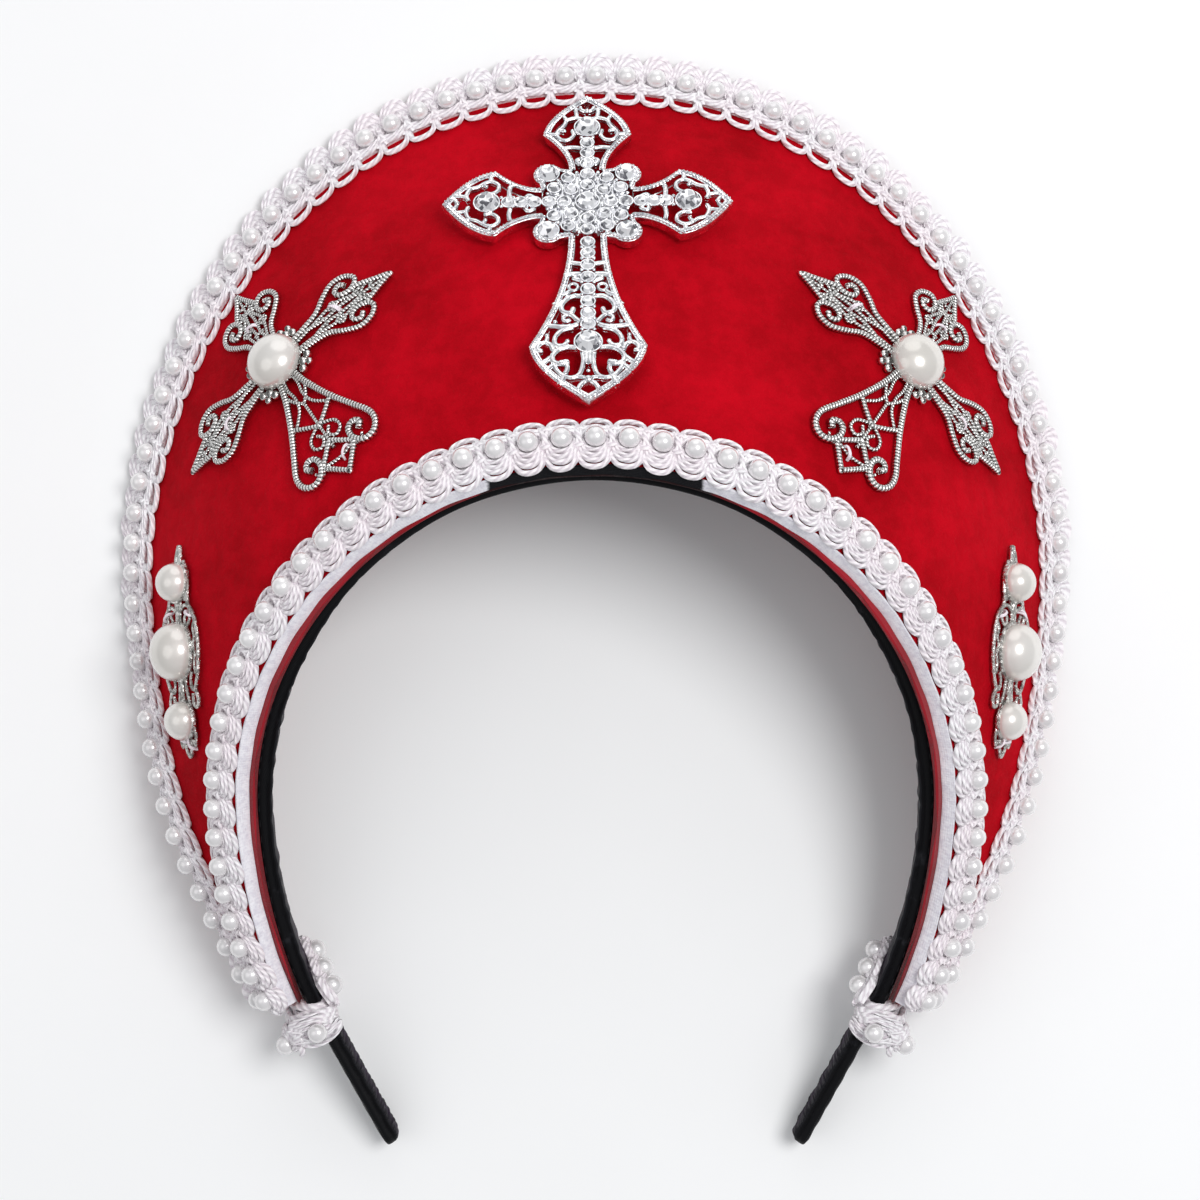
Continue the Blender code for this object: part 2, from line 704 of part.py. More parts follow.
def wrap_mesh(name):
    """Sleeve of braid round the right end of the crescent and the headband, with its pearls."""
    inside = HEADBAND_THICKNESS / 2 + GAP
    rings = []
    for place, swell in WRAP_SWELLS:
        frame = headband_frame(place)
        depth = headband_depth(place)
        wall, outer_wall = WRAP_WALL * swell, WRAP_OUTER_WALL * swell
        rings.append([frame @ Vector(corner) for corner in (
            (-inside - outer_wall, 0, GAP + wall * 0.6),
            (-inside - outer_wall, 0, -depth * 0.7),
            (-inside - wall, 0, -depth - GAP - WRAP_WALL),
            (inside + WRAP_WALL, 0, -depth - GAP - WRAP_WALL),
            (inside + wall, 0, GAP + WRAP_WALL),
            (-inside, 0, GAP + wall * 1.2))])
    tunnel = []
    for place in (1 - 2 / HEADBAND_CURVE_SPANS, 1, 1 + 1 / HEADBAND_TAIL_SPANS):
        frame = headband_frame(place)
        depth = headband_depth(place)
        tunnel.append([frame @ Vector(corner) for corner in (
            (inside, 0, GAP), (inside, 0, -depth - GAP), (-inside, 0, -depth - GAP), (-inside, 0, GAP))])
    sleeve = boolean("DIFFERENCE", loft(name, rings), loft(name + "_tunnel", tunnel), name)

    run_on = []
    near, far = inside + GAP, inside + GAP + WRAP_WALL
    top, bottom = [-depth for depth in WRAP_END_DEPTHS]
    for place in WRAP_END_PLACES:
        frame = headband_frame(place)
        run_on.append([frame @ Vector(corner) for corner in (
            (near, 0, top), (near, 0, bottom), (far, 0, bottom), (far, 0, top))])
    sleeve = boolean("UNION", sleeve, loft(name + "_run_on", run_on), name)

    pearls = []
    for place, quarters, x, z in WRAP_PEARLS:
        facing = Matrix.Rotation(math.radians(90 * quarters), 4, "Y")
        spot = headband_frame(place) @ Matrix.Translation(Vector((x, 0, z)) * MM) @ facing
        pearls.append(turned_rings(spot, pearl_profile(foot=0.0), PEARL_SIDES))
    return boolean("UNION", sleeve, many(pearls, name + "_pearls"), name)


def build():
    for old in list(bpy.data.objects):
        bpy.data.objects.remove(old, do_unlink=True)
    hood = bpy.data.collections.new("french_hood")
    bpy.context.scene.collection.children.link(hood)

    velvet = material("red_velvet", (0.46, 0.002, 0.012), 0.9)
    lining = material("red_lining", (0.30, 0.004, 0.012), 0.7)
    tape = material("white_tape", (0.80, 0.78, 0.82), 0.8)
    satin = material("black_satin", (0.008, 0.008, 0.010), 0.45)
    braid = material("white_braid", (0.85, 0.82, 0.84), 0.6)
    silver = material("bright_silver", (0.83, 0.83, 0.85), 0.18, 1.0)
    old_silver = material("antique_silver", (0.52, 0.51, 0.50), 0.3, 1.0)
    crystal = material("clear_stone", (0.9, 0.92, 0.94), 0.05)
    pearl = material("ivory_pearl", (0.86, 0.82, 0.76), 0.2)

    crescent = crescent_mesh()
    add_object("crescent", crescent, velvet, hood)
    add_object("crescent_lining", lining_mesh(), lining, hood)
    add_object("inner_edge_tape", tape_mesh(), tape, hood)
    add_object("headband", headband_mesh(), satin, hood)
    add_object("outer_trim", trim_mesh("outer_trim", False), braid, hood)
    add_object("inner_trim", trim_mesh("inner_trim", True), braid, hood)
    right_wrap = wrap_mesh("end_wrap_right")
    add_object("end_wrap_right", right_wrap, braid, hood)
    add_object("end_wrap_left", mirrored_copy(right_wrap, "end_wrap_left"), braid, hood)

    shape = bmesh.new()
    shape.from_mesh(crescent)
    surface = BVHTree.FromBMesh(shape)
    shape.free()

    cross_place = velvet_frame(CROSS_TURN, CROSS_ACROSS) @ Matrix.Translation((0, 0, GAP))
    cross = add_object("centre_cross", centre_cross_mesh(), silver, hood)
    cross.matrix_world = cross_place
    for name, x, y, diameter in MAIN_STONES:
        spot = Matrix.Translation((x * MM, y * MM, CROSS_THICKNESS + GAP))
        profile = stone_profile(diameter * MM, STONE_HEIGHT_SHARE * diameter * MM)
        stone = add_object(name, many([turned_rings(Matrix(), profile, 8)], name), crystal, hood)
        stone.matrix_world = cross_place @ spot

    for side, sign in (("right", 1), ("left", -1)):
        place = velvet_frame(SIDE_CROSS_TURN, SIDE_CROSS_ACROSS) @ Matrix.Rotation(-SIDE_CROSS_TWIST, 4, "Z")
        cross = side_cross_mesh(surface, place)
        seat = on_metal(place, surface, 0, SIDE_CABOCHON / 2)
        profile = cabochon_profile(SIDE_CABOCHON, SIDE_CABOCHON_HEIGHT)
        dome = many([turned_rings(seat, profile, 12)], "side_cross_cabochon")
        pieces = [("side_cross_" + side, cross, old_silver), ("side_cross_cabochon_" + side, dome, pearl)]

        place = velvet_frame(ORNAMENT_TURN, ORNAMENT_ACROSS) @ Matrix.Rotation(math.pi / 2 - ORNAMENT_TWIST, 4, "Z")
        pieces.append(("side_ornament_" + side, ornament_mesh(surface, place), old_silver))
        for label, distance, diameter, height in ORNAMENT_CABOCHONS:
            seat = on_metal(place, surface, distance * MM, diameter / 2 * MM)
            dome = many([turned_rings(seat, cabochon_profile(diameter * MM, height * MM), 10)], label)
            pieces.append((f"ornament_cabochon_{label}_{side}", dome, pearl))
        for name, mesh, finish in pieces:
            mesh = mesh if sign > 0 else mirrored_copy(mesh, name)
            add_object(name, mesh, finish, hood)


build()
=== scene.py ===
"""Looks of a french hood: velvet crescent, satin headband, pearl braid, pierced crosses and cabochons."""

import math
import random

import bpy
import numpy as np
from mathutils import Matrix, Vector
from mathutils.bvhtree import BVHTree


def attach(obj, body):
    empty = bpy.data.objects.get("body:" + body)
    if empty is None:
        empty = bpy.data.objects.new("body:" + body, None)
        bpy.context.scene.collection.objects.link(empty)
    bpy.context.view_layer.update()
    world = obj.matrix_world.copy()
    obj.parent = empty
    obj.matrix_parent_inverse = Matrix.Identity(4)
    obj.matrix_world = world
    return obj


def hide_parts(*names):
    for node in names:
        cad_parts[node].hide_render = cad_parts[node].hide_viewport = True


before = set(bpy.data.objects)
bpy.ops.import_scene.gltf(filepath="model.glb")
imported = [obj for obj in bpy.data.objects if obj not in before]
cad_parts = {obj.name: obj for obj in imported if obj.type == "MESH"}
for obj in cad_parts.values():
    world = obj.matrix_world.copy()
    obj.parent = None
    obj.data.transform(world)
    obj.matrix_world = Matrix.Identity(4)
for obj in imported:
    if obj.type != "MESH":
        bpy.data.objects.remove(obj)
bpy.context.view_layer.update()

# The crescent: stiff board padded and covered with red velvet, the cloth drawn over the rim and glued behind.
# Its face runs straight from the inner edge to the rim with a slight crown. All lengths are in metres.
MM = 0.001
INNER_HALF_WIDTH = 74.8 * MM
INNER_CENTRE_Y = -44.0 * MM
INNER_TOP_Y = 27.0 * MM
INNER_END_REACH = 95.2 * MM
INNER_END_ANGLE = math.radians(117.0)
INNER_TOP_HEIGHT = 66.0 * MM
INNER_PLANE_SLOPE = 0.3933
RIM_HALF_WIDTH = 101.9 * MM
RIM_HALF_HEIGHT = 116.4 * MM
RIM_POWER = 2.08
RIM_END_ANGLE = math.radians(137.5)
RIM_END_LIFT = 11.0 * MM
RIM_LIFT_TURNS = (0.66, 0.86)
RIM_WAIST = 0.026
RIM_WAIST_TURNS = (0.55, 0.76, 0.88, 1.0)
VELVET_BULGE = 2.5 * MM
BULGE_FULL_WIDTH = 0.1
BOARD = 2.6 * MM
STACK = 3.8 * MM
TURNED_EDGE = 3.5 * MM
NAP_RISE = 0.15 * MM


def smooth(value):
    value = min(1.0, max(0.0, value))
    return value * value * (3 - 2 * value)


def blend(value, start, end):
    return smooth((value - start) / (end - start))


def inner_edge(turn):
    """Point of the velvet's inner edge. turn runs from -1 at the left end to 1 at the right end."""
    angle = turn * INNER_END_ANGLE
    reach = INNER_TOP_Y - INNER_CENTRE_Y if math.cos(angle) > 0 else INNER_END_REACH
    y = INNER_CENTRE_Y + reach * math.cos(angle)
    height = INNER_TOP_HEIGHT + (y - INNER_TOP_Y) * INNER_PLANE_SLOPE
    return Vector((INNER_HALF_WIDTH * math.sin(angle), y, height))


def rim_edge(turn):
    angle = turn * RIM_END_ANGLE
    lift = RIM_END_LIFT * blend(abs(turn), *RIM_LIFT_TURNS)
    start, full, hold, end = RIM_WAIST_TURNS
    waist = RIM_WAIST * blend(abs(turn), start, full) * (1 - blend(abs(turn), hold, end))
    square = abs(math.sin(angle)) ** RIM_POWER + abs(math.cos(angle)) ** RIM_POWER
    size = square ** (-1 / RIM_POWER) * (1 - waist)
    foot = Vector((RIM_HALF_WIDTH * math.sin(angle), RIM_HALF_HEIGHT * math.cos(angle), 0)) * size
    inner = inner_edge(turn)
    slope = math.atan2(inner.z - lift, (foot - inner).xy.length)
    foot.z = lift + STACK * math.cos(slope)
    return foot


def width_at(turn):
    return (rim_edge(turn) - inner_edge(turn)).length


def velvet_point(turn, across):
    """Point of the velvet face: across is 0 at the inner edge and 1 at the rim."""
    inner = inner_edge(turn)
    ruling = rim_edge(turn) - inner
    before, after = turn - 0.001, turn + 0.001
    along = inner_edge(after) + rim_edge(after) - inner_edge(before) - rim_edge(before)
    out = ruling.cross(along).normalized()
    bulge = VELVET_BULGE * min(1.0, ruling.length / BULGE_FULL_WIDTH)
    return inner + ruling * across - out * bulge * math.sin(math.pi * min(1.0, max(0.0, across)))


def placed(right, up, out, spot):
    """Place at the spot with these axes."""
    place = Matrix((right, up, out)).transposed().to_4x4()
    place.translation = spot
    return place


def velvet_frame(turn, across):
    """Place on the velvet: x runs along the crescent, y to the rim and z out of the velvet."""
    up = (velvet_point(turn, across + 0.01) - velvet_point(turn, across - 0.01)).normalized()
    along = velvet_point(turn + 0.002, across) - velvet_point(turn - 0.002, across)
    out = along.cross(up).normalized()
    return placed(up.cross(out), up, out, velvet_point(turn, across))


def under_velvet(turn, across, depth):
    place = velvet_frame(turn, across)
    return place.translation - place.col[2].xyz * depth


def added(primitive, **settings):
    """New primitive with nothing else selected, its place in its mesh."""
    bpy.ops.object.select_all(action="DESELECT")
    primitive(**settings)
    bpy.ops.object.transform_apply(location=True)
    return bpy.context.object


def cleaned(piece, merge, angle, holes=False):
    """The piece with its doubles merged, its faces turned out and smooth up to the angle."""
    bpy.ops.object.mode_set(mode="EDIT")
    bpy.ops.mesh.select_all(action="SELECT")
    bpy.ops.mesh.remove_doubles(threshold=merge)
    if holes:
        bpy.ops.mesh.fill_holes(sides=0)
        bpy.ops.mesh.select_all(action="SELECT")
    bpy.ops.mesh.normals_make_consistent(inside=False)
    bpy.ops.object.mode_set(mode="OBJECT")
    bpy.ops.object.shade_smooth_by_angle(angle=angle)
    return piece


def shaped_grid(name, columns, rows, place):
    """Grid bent point by point into a closed form; place gets the share along and the share around it."""
    piece = added(bpy.ops.mesh.primitive_grid_add, x_subdivisions=columns, y_subdivisions=rows, size=1)
    piece.name = name
    for vertex in piece.data.vertices:
        vertex.co = place(vertex.co.x + 0.5, vertex.co.y + 0.5)
    return cleaned(piece, 0.01 * MM, math.radians(50), holes=True)


class Signal:
    """Output of a shader node. Arithmetic on it adds Math nodes to its finish."""

    def __init__(self, finish, socket):
        self.finish = finish
        self.socket = socket

    def math(self, operation, first, second=0.5):
        return self.finish.node("ShaderNodeMath", {"operation": operation}, {0: first, 1: second})

    def __add__(self, other):
        return self.math("ADD", self, other)

    def __sub__(self, other):
        return self.math("SUBTRACT", self, other)

    def __rsub__(self, other):
        return self.math("SUBTRACT", other, self)

    def __mul__(self, other):
        return self.math("MULTIPLY", self, other)

    def __pow__(self, other):
        return self.math("POWER", self, other)

    def sine(self):
        return self.math("SINE", self)

    __radd__ = __add__
    __rmul__ = __mul__


class Finish:
    """Material on one Principled shader, its nodes written as Python expressions."""

    def __init__(self, name, sockets):
        self.material = bpy.data.materials.new(name)
        self.material.use_nodes = True
        self.tree = self.material.node_tree
        self.shader = self.tree.nodes["Principled BSDF"]
        for socket, value in sockets.items():
            self.shader.inputs[socket].default_value = value

    def node(self, kind, settings, inputs, output=0):
        made = self.tree.nodes.new(kind)
        for name, value in settings.items():
            setattr(made, name, value)
        for socket, value in inputs.items():
            if isinstance(value, Signal):
                self.tree.links.new(value.socket, made.inputs[socket])
            else:
                made.inputs[socket].default_value = value
        return Signal(self, made.outputs[output])

    def place(self, kind="Object"):
        return self.node("ShaderNodeTexCoord", {}, {}, kind)

    def split(self, vector, axis):
        return self.node("ShaderNodeSeparateXYZ", {}, {0: vector}, axis)

    def noise(self, scale, detail=3.0, roughness=0.55, vector=None):
        inputs = {"Vector": vector or self.place(), "Scale": scale, "Detail": detail, "Roughness": roughness}
        return self.node("ShaderNodeTexNoise", {}, inputs, "Fac")

    def stripes(self, along, around):
        """0 to 1 and back along the UV map and round it, at so many radians for the whole piece or turn."""
        place = self.place("UV")
        return (self.split(place, 0) * along + self.split(place, 1) * around).sine() * 0.5 + 0.5

    def ramp(self, value, low, high):
        """0 below low, 1 above high and smooth between them."""
        inputs = {"Value": value, "From Min": low, "From Max": high}
        return self.node("ShaderNodeMapRange", {"interpolation_type": "SMOOTHSTEP"}, inputs)

    def patches(self, low, high, scale, detail, roughness=0.55):
        return self.ramp(self.noise(scale, detail, roughness), low, high)

    def mix(self, share, first, second):
        return self.node("ShaderNodeMix", {"data_type": "RGBA"}, {0: share, 6: first, 7: second}, 2)

    def paint(self, socket, signal):
        self.tree.links.new(signal.socket, self.shader.inputs[socket])

    def colour(self, share, first, second):
        self.paint("Base Color", self.mix(share, first, second))

    def bump(self, height, depth):
        inputs = {"Height": height, "Distance": depth, "Strength": 1.0}
        self.paint("Normal", self.node("ShaderNodeBump", {}, inputs))

    def on(self, piece):
        piece.data.materials.clear()
        piece.data.materials.append(self.material)


CRESCENT_COLUMNS = 300
# share of the way round the section, across the face, depth under it
CRESCENT_SECTION = (
    (0.00, 0.0, 0.35 * MM),
    (0.02, 0.004, 0.08 * MM),
    (0.05, 0.02, 0.0),
    (0.65, 0.98, 0.0),
    (0.68, 0.995, 0.25 * MM),
    (0.70, 1.0, 1.0 * MM),
    (0.72, 1.0, STACK - 0.6 * MM),
    (0.74, 0.994, STACK),
    (0.80, None, STACK),
    (0.82, None, BOARD),
    (0.98, 0.0, BOARD),
    (1.00, 0.0, 0.35 * MM),
)


def crescent_surface(along, around):
    turn = 2 * along - 1
    fold = 1 - TURNED_EDGE / width_at(turn)
    for (start, *first), (end, *second) in zip(CRESCENT_SECTION, CRESCENT_SECTION[1:]):
        if around <= end + 1e-6:
            share = (around - start) / (end - start)
            one, two = [fold if row[0] is None else row[0] for row in (first, second)]
            across = one + (two - one) * share
            depth = first[1] + (second[1] - first[1]) * share
            break
    rise = NAP_RISE * math.sin(23 * along + 9 * across) * math.sin(math.pi * across)
    return under_velvet(turn, across, depth - rise)


velvet = shaped_grid("velvet_crescent", CRESCENT_COLUMNS, 100, crescent_surface)
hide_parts("crescent")
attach(velvet, "root")

red_velvet = Finish("red_velvet", {
    "Roughness": 0.8, "Specular IOR Level": 0.04,
    "Sheen Weight": 0.12, "Sheen Roughness": 0.5, "Sheen Tint": (1.0, 0.03, 0.06, 1.0),
})
clouds = red_velvet.patches(0.3, 0.72, 28, 2)
brushed = red_velvet.patches(0.32, 0.68, 210, 5, 0.65)
nap = red_velvet.noise(3800, 2, 0.7)
pressed = clouds * 0.45 + brushed * 0.3 + nap * 0.35
red_velvet.colour(pressed, (0.25, 0.0003, 0.0025, 1), (0.56, 0.0015, 0.0105, 1))
red_velvet.bump(nap * 0.6 + brushed, 0.14 * MM)
red_velvet.on(velvet)


# The lining: thin red cloth glued behind the board inside the turned edge of the velvet, slightly puckered.
# Its inner edge shows as a red line beside the tape, most of all at the sides. Near the top of the hood black
# satin is drawn over both, which is shown by their colour.
LINING_GAP = 0.3 * MM
LINING_SHOWS = (0.3 * MM, 2.2 * MM)
LINING_SHOWS_TURNS = (0.12, 0.55)
PUCKER = 0.12 * MM
SATIN_REACH = 22.5 * MM


def lining_surface(along, around):
    turn = 2 * along - 1
    end = 1 - (TURNED_EDGE + LINING_GAP) / width_at(turn)
    least, most = LINING_SHOWS
    start = -(least + (most - least) * blend(abs(turn), *LINING_SHOWS_TURNS)) / width_at(turn)
    front = around < 0.5
    across = start + (end - start) * (around * 2 if front else 2 - around * 2)
    waves = math.sin(95 * along + 3 * math.sin(14 * across))
    pucker = PUCKER * waves * math.sin(math.pi * max(0, across) / end)
    return under_velvet(turn, across, BOARD + LINING_GAP if front else STACK + PUCKER - abs(pucker))


lining = shaped_grid("lining_cloth", 260, 60, lining_surface)
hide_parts("crescent_lining")
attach(lining, "root")

red_lining = Finish("red_lining", {"Roughness": 0.8, "Specular IOR Level": 0.2, "Sheen Weight": 0.15})
threads = red_lining.place("UV")
warp = (red_lining.split(threads, 0) * 5200).sine()
weft = (red_lining.split(threads, 1) * 2600).sine()
faded = red_lining.patches(0.3, 0.7, 45, 4)
sideways = red_lining.split(red_lining.place(), 0)
covered = 1 - red_lining.ramp(sideways * sideways, SATIN_REACH ** 2, (SATIN_REACH + 1.5 * MM) ** 2)
dyed = red_lining.mix(faded, (0.26, 0.003, 0.010, 1), (0.40, 0.006, 0.018, 1))
red_lining.colour(covered, dyed, (0.02, 0.001, 0.002, 1))
red_lining.bump(warp * weft, 0.05 * MM)
red_lining.on(lining)


# The tape: narrow white woven tape glued on the board's inner edge, all round from end to end. Near the top
# its colour shows the black satin drawn over it.
TAPE = 0.5 * MM
TAPE_GAP = 0.3 * MM
TAPE_PROUD = 0.25 * MM


def tape_surface(along, around):
    place = velvet_frame(2 * along - 1, 0)
    away, out = -place.col[1].xyz, place.col[2].xyz
    angle = 2 * math.pi * around
    half = (BOARD + 2 * TAPE_PROUD) / 2
    flat = max(-1.0, min(1.0, 1.35 * math.cos(angle)))
    thick = max(-1.0, min(1.0, 1.35 * math.sin(angle)))
    wave = 0.10 * MM * math.sin(170 * along)
    middle = place.translation + away * (TAPE_GAP + TAPE / 2 + wave) - out * BOARD / 2
    return middle + out * half * flat + away * TAPE / 2 * thick


tape = shaped_grid("edge_tape", 420, 16, tape_surface)
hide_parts("inner_edge_tape")
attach(tape, "root")

white_tape = Finish("white_tape", {"Roughness": 0.8, "Specular IOR Level": 0.1, "Sheen Weight": 0.03})
ribs = white_tape.stripes(3400, 0)
rows = white_tape.stripes(0, 150)
specks = white_tape.patches(0.35, 0.7, 900, 3, 0.7)
sideways = white_tape.split(white_tape.place(), 0)
frayed = white_tape.noise(700, 3) * 0.00006
covered = 1 - white_tape.ramp(sideways * sideways + frayed, (SATIN_REACH - 1.0 * MM) ** 2, SATIN_REACH ** 2)
woven = white_tape.mix(specks * 0.6 + ribs * 0.08, (0.92, 0.91, 0.95, 1), (0.66, 0.63, 0.72, 1))
white_tape.colour(covered, woven, (0.004, 0.004, 0.006, 1))
white_tape.bump(ribs * 0.3 + rows * 0.3 + specks * 0.6, 0.08 * MM)
white_tape.on(tape)


# The headband: springy band wrapped in black satin and stitched along its front edge, its two tips free and
# rounded. The cloth that lines its inner side ends in a cut, slightly frayed edge beside the satin.
HEADBAND_HALF_WIDTH = 69.6 * MM
HEADBAND_TOP_Y = 24.7 * MM
HEADBAND_END_REACH = 88.0 * MM
HEADBAND_END_ANGLE = math.radians(124.5)
HEADBAND_TAIL = 26.7 * MM
HEADBAND_TAIL_WAY = Vector((-0.447, -0.894))
HEADBAND_TIP_Y = -117.7 * MM
HEADBAND_TIP_HEIGHT = 8.75 * MM
HEADBAND_SLOPE = 0.3585
HEADBAND_THICKNESS = 2.8 * MM
HEADBAND_TOP_DEPTH = 23.0 * MM
HEADBAND_TIP_DEPTH = 9.2 * MM
HEADBAND_TAPER_END = 1.6
HEADBAND_LEAN = math.radians(14.0)
HEADBAND_LEAN_PLACES = (0.25, 0.85)
TIP_ROUNDING = 2.4 * MM
BACKING = 1.3 * MM
BACKING_PLACES = (0.15, 0.6)
BACKING_GROOVE = 0.5 * MM
# shares of the way round the band, from the middle of its inner side over its front edge
BACKING_AROUND = 0.18
STITCHES_AROUND = 0.31


def headband_frame(place):
    """Place on the band's front edge: 0 at the top, 1 and -1 where the tails start, 2 and -2 at the tips.

    x points into the head, y along the band to the right tip and z to the front.
    """
    slope = math.atan(HEADBAND_SLOPE)
    side = -1 if place < 0 else 1
    angle = min(1.0, abs(place)) * HEADBAND_END_ANGLE
    reach = HEADBAND_TOP_Y - INNER_CENTRE_Y if math.cos(angle) > 0 else HEADBAND_END_REACH
    spot = Vector((HEADBAND_HALF_WIDTH * math.sin(angle), INNER_CENTRE_Y + reach * math.cos(angle)))
    way = Vector((HEADBAND_HALF_WIDTH * math.cos(angle), -reach * math.sin(angle)))
    if abs(place) > 1:
        spot += HEADBAND_TAIL_WAY * HEADBAND_TAIL * (abs(place) - 1)
        way = HEADBAND_TAIL_WAY
    point = Vector((side * spot.x, spot.y, HEADBAND_TIP_HEIGHT + (spot.y - HEADBAND_TIP_Y) * HEADBAND_SLOPE))
    along = Vector((way.x, side * way.y, side * way.y * HEADBAND_SLOPE)).normalized()
    front = Vector((0, -math.sin(slope), math.cos(slope)))
    lean = Matrix.Rotation(HEADBAND_LEAN * blend(abs(place), *HEADBAND_LEAN_PLACES), 4, "Y")
    return placed(along.cross(front), along, front, point) @ lean


def headband_depth(place):
    taper = smooth(abs(place) / HEADBAND_TAPER_END)
    return HEADBAND_TOP_DEPTH + (HEADBAND_TIP_DEPTH - HEADBAND_TOP_DEPTH) * taper


def headband_surface(along, around):
    reach = 2 + TIP_ROUNDING / HEADBAND_TAIL
    place = (2 * along - 1) * reach
    depth = headband_depth(place)
    past = max(0.0, abs(place) - 2) / (reach - 2)
    tip = math.sqrt(max(0.02, 1 - past * past))
    angle = 2 * math.pi * around
    half, deep = HEADBAND_THICKNESS / 2, depth / 2
    corner = half * 0.95
    x, z = math.cos(angle), math.sin(angle)
    x = half * math.copysign(abs(x) ** 0.7, x)
    z = (deep - corner) * max(-1.0, min(1.0, 1.25 * z)) + corner * z
    wrinkle = 0.07 * MM * math.sin(140 * along + 5 * math.sin(angle))
    backing = blend(abs(place), *BACKING_PLACES) * tip
    if x > 0:
        frayed = 1 + 0.10 * math.sin(830 * along) + 0.08 * math.sin(1370 * along + 2)
        x += BACKING * backing * frayed * smooth(x / half)
        if z > 0:
            z -= BACKING_GROOVE * backing * math.exp(-((x / half - 0.75) / 0.35) ** 2)
    x = x * (0.55 + 0.45 * tip) + wrinkle * x / half
    return headband_frame(place) @ Vector((x, 0, z * (0.4 + 0.6 * tip) - depth / 2))


headband = shaped_grid("satin_headband", 420, 48, headband_surface)
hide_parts("headband")
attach(headband, "root")

black_satin = Finish("black_satin", {"Roughness": 0.42, "Specular IOR Level": 0.12})
cloth = black_satin.place("UV")
ribbing = black_satin.stripes(2900, 300)
round_the_band = black_satin.split(cloth, 1)
purple_side = 1 - black_satin.ramp(round_the_band, 0.02, 0.16)
# Glue marks: glossier patches of the satin, and their lighter grey is a painted sheen.
glue_and_sheen = black_satin.patches(0.58, 0.72, 140, 5, 0.7)
stitches = black_satin.ramp((black_satin.split(cloth, 0) * 1500).sine(), 0.0, 0.4)
seam_line = stitches * (1 - black_satin.ramp((round_the_band - STITCHES_AROUND) ** 2, 0.00002, 0.00008))
satin_with_painted_sheen = black_satin.mix(glue_and_sheen * 0.35, (0.003, 0.003, 0.004, 1), (0.040, 0.040, 0.048, 1))
lined = 1 - black_satin.ramp(round_the_band, BACKING_AROUND - 0.015, BACKING_AROUND)
satin_with_painted_sheen = black_satin.mix(lined * 0.8, satin_with_painted_sheen, (0.014, 0.014, 0.017, 1))
stitched = black_satin.mix(seam_line * 0.8, satin_with_painted_sheen, (0.05, 0.05, 0.055, 1))
black_satin.colour(purple_side * 0.8, stitched, (0.022, 0.006, 0.030, 1))
black_satin.paint("Roughness", 0.5 - glue_and_sheen * 0.2)
black_satin.bump(ribbing * 0.3 + glue_and_sheen * 0.3 - seam_line * 0.8, 0.10 * MM)
black_satin.on(headband)


# The braid: white twisted cords crocheted round small pearls, one repeat a pearl. On one side it has a fan of
# three cords, on the other a single loop. The cords are drawn in mm: along the braid, to the fans, and up.
PEARL = 4.3 * MM
PEARL_PITCH = 6.5 * MM
PEARL_HEIGHT = 2.7 * MM
INNER_PEARL_LINE = 4.6 * MM
OUTER_PEARL_LINE = 4.1 * MM
TWIST_PITCH = 2.0 * MM
NARROW_SHARE = 0.25
LOOP_REACH = 6.2
LEAST_LOOP = 0.35
FAN_CHANCE = (0.95, 1.05)
RISE_CHANCE = (0.92, 1.08)
LOOP_START = 4.2 * MM
HALF_PITCH = 3.25
# fans' length at the top of the crescent and at its ends, turns between which it changes, loops' length, and
# the fans' sag at the top and at the ends
INNER_BRAID = (0.96, 0.82, (0.15, 0.5), 0.88, 0.5, 0.5)
OUTER_BRAID = (1.10, 0.65, (0.62, 0.8), 1.13, 0.85, 2.05)
# cord radius, lean of its tip, then its points; a cord that starts at x 0 runs on in the same way to the left
BRAID_CORDS = (
    (0.50, 0.35, ((0, 6.1, 1.0), (2.0, 5.5, 1.0), (3.3, 3.2, 1.0), (3.1, 1.0, 0.9))),
    (0.47, 0.30, ((0, 5.0, 1.5), (1.6, 4.5, 1.5), (2.7, 2.8, 1.4), (2.7, 0.6, 1.1))),
    (0.45, 0.25, ((0, 4.1, 1.9), (1.2, 3.7, 1.9), (2.1, 2.5, 1.7), (2.4, 0.3, 1.2))),
    (0.45, 0.10, ((0, 2.8, 1.9), (1.7, 1.9, 1.7), (2.6, -0.2, 1.2))),
    (0.52, -0.20, ((0, -5.8, 0.8), (2.1, -5.3, 0.8), (2.9, -3.9, 0.9), (2.9, -1.8, 1.0))),
    (0.50, 0.00, ((0, -2.6, 1.5), (2.1, -1.9, 1.6), (3.4, -0.6, 1.2))),
    (0.50, 0.00, ((0, -3.3, 1.3), (1.8, -2.9, 1.4), (3.6, -2.0, 1.2))),
    (0.48, 0.00, ((2.2, -3.6, 0.9), (2.9, -1.6, 1.7), (3.5, 0.4, 1.8), (4.2, 2.0, 1.1))),
    (0.48, 0.00, ((4.3, -3.6, 0.9), (3.6, -1.6, 2.0), (3.0, 0.4, 1.9), (2.3, 2.0, 1.1))),
    (0.45, 0.00, ((2.5, -2.6, 1.6), (3.25, -2.9, 2.1), (4.0, -2.6, 1.6))),
    (0.45, 0.00, ((2.5, 1.2, 1.6), (3.25, 1.6, 2.1), (4.0, 1.2, 1.6))),
    (0.85, 0.00, ((0, -2.2, 0.35), (3.3, -2.2, 0.35))),
    (0.85, 0.00, ((0, -1.3, 0.45), (3.3, -1.1, 0.45))),
    (0.85, 0.00, ((0, 0.3, 0.45), (3.3, 0.4, 0.45))),
    (0.85, 0.00, ((0, 1.9, 0.45), (3.3, 1.9, 0.45))),
    (0.80, 0.00, ((0, 3.4, 0.35), (3.3, 3.3, 0.35))),
)
GROUND_CORD = 0.7
CORD_FULLNESS = 1.18


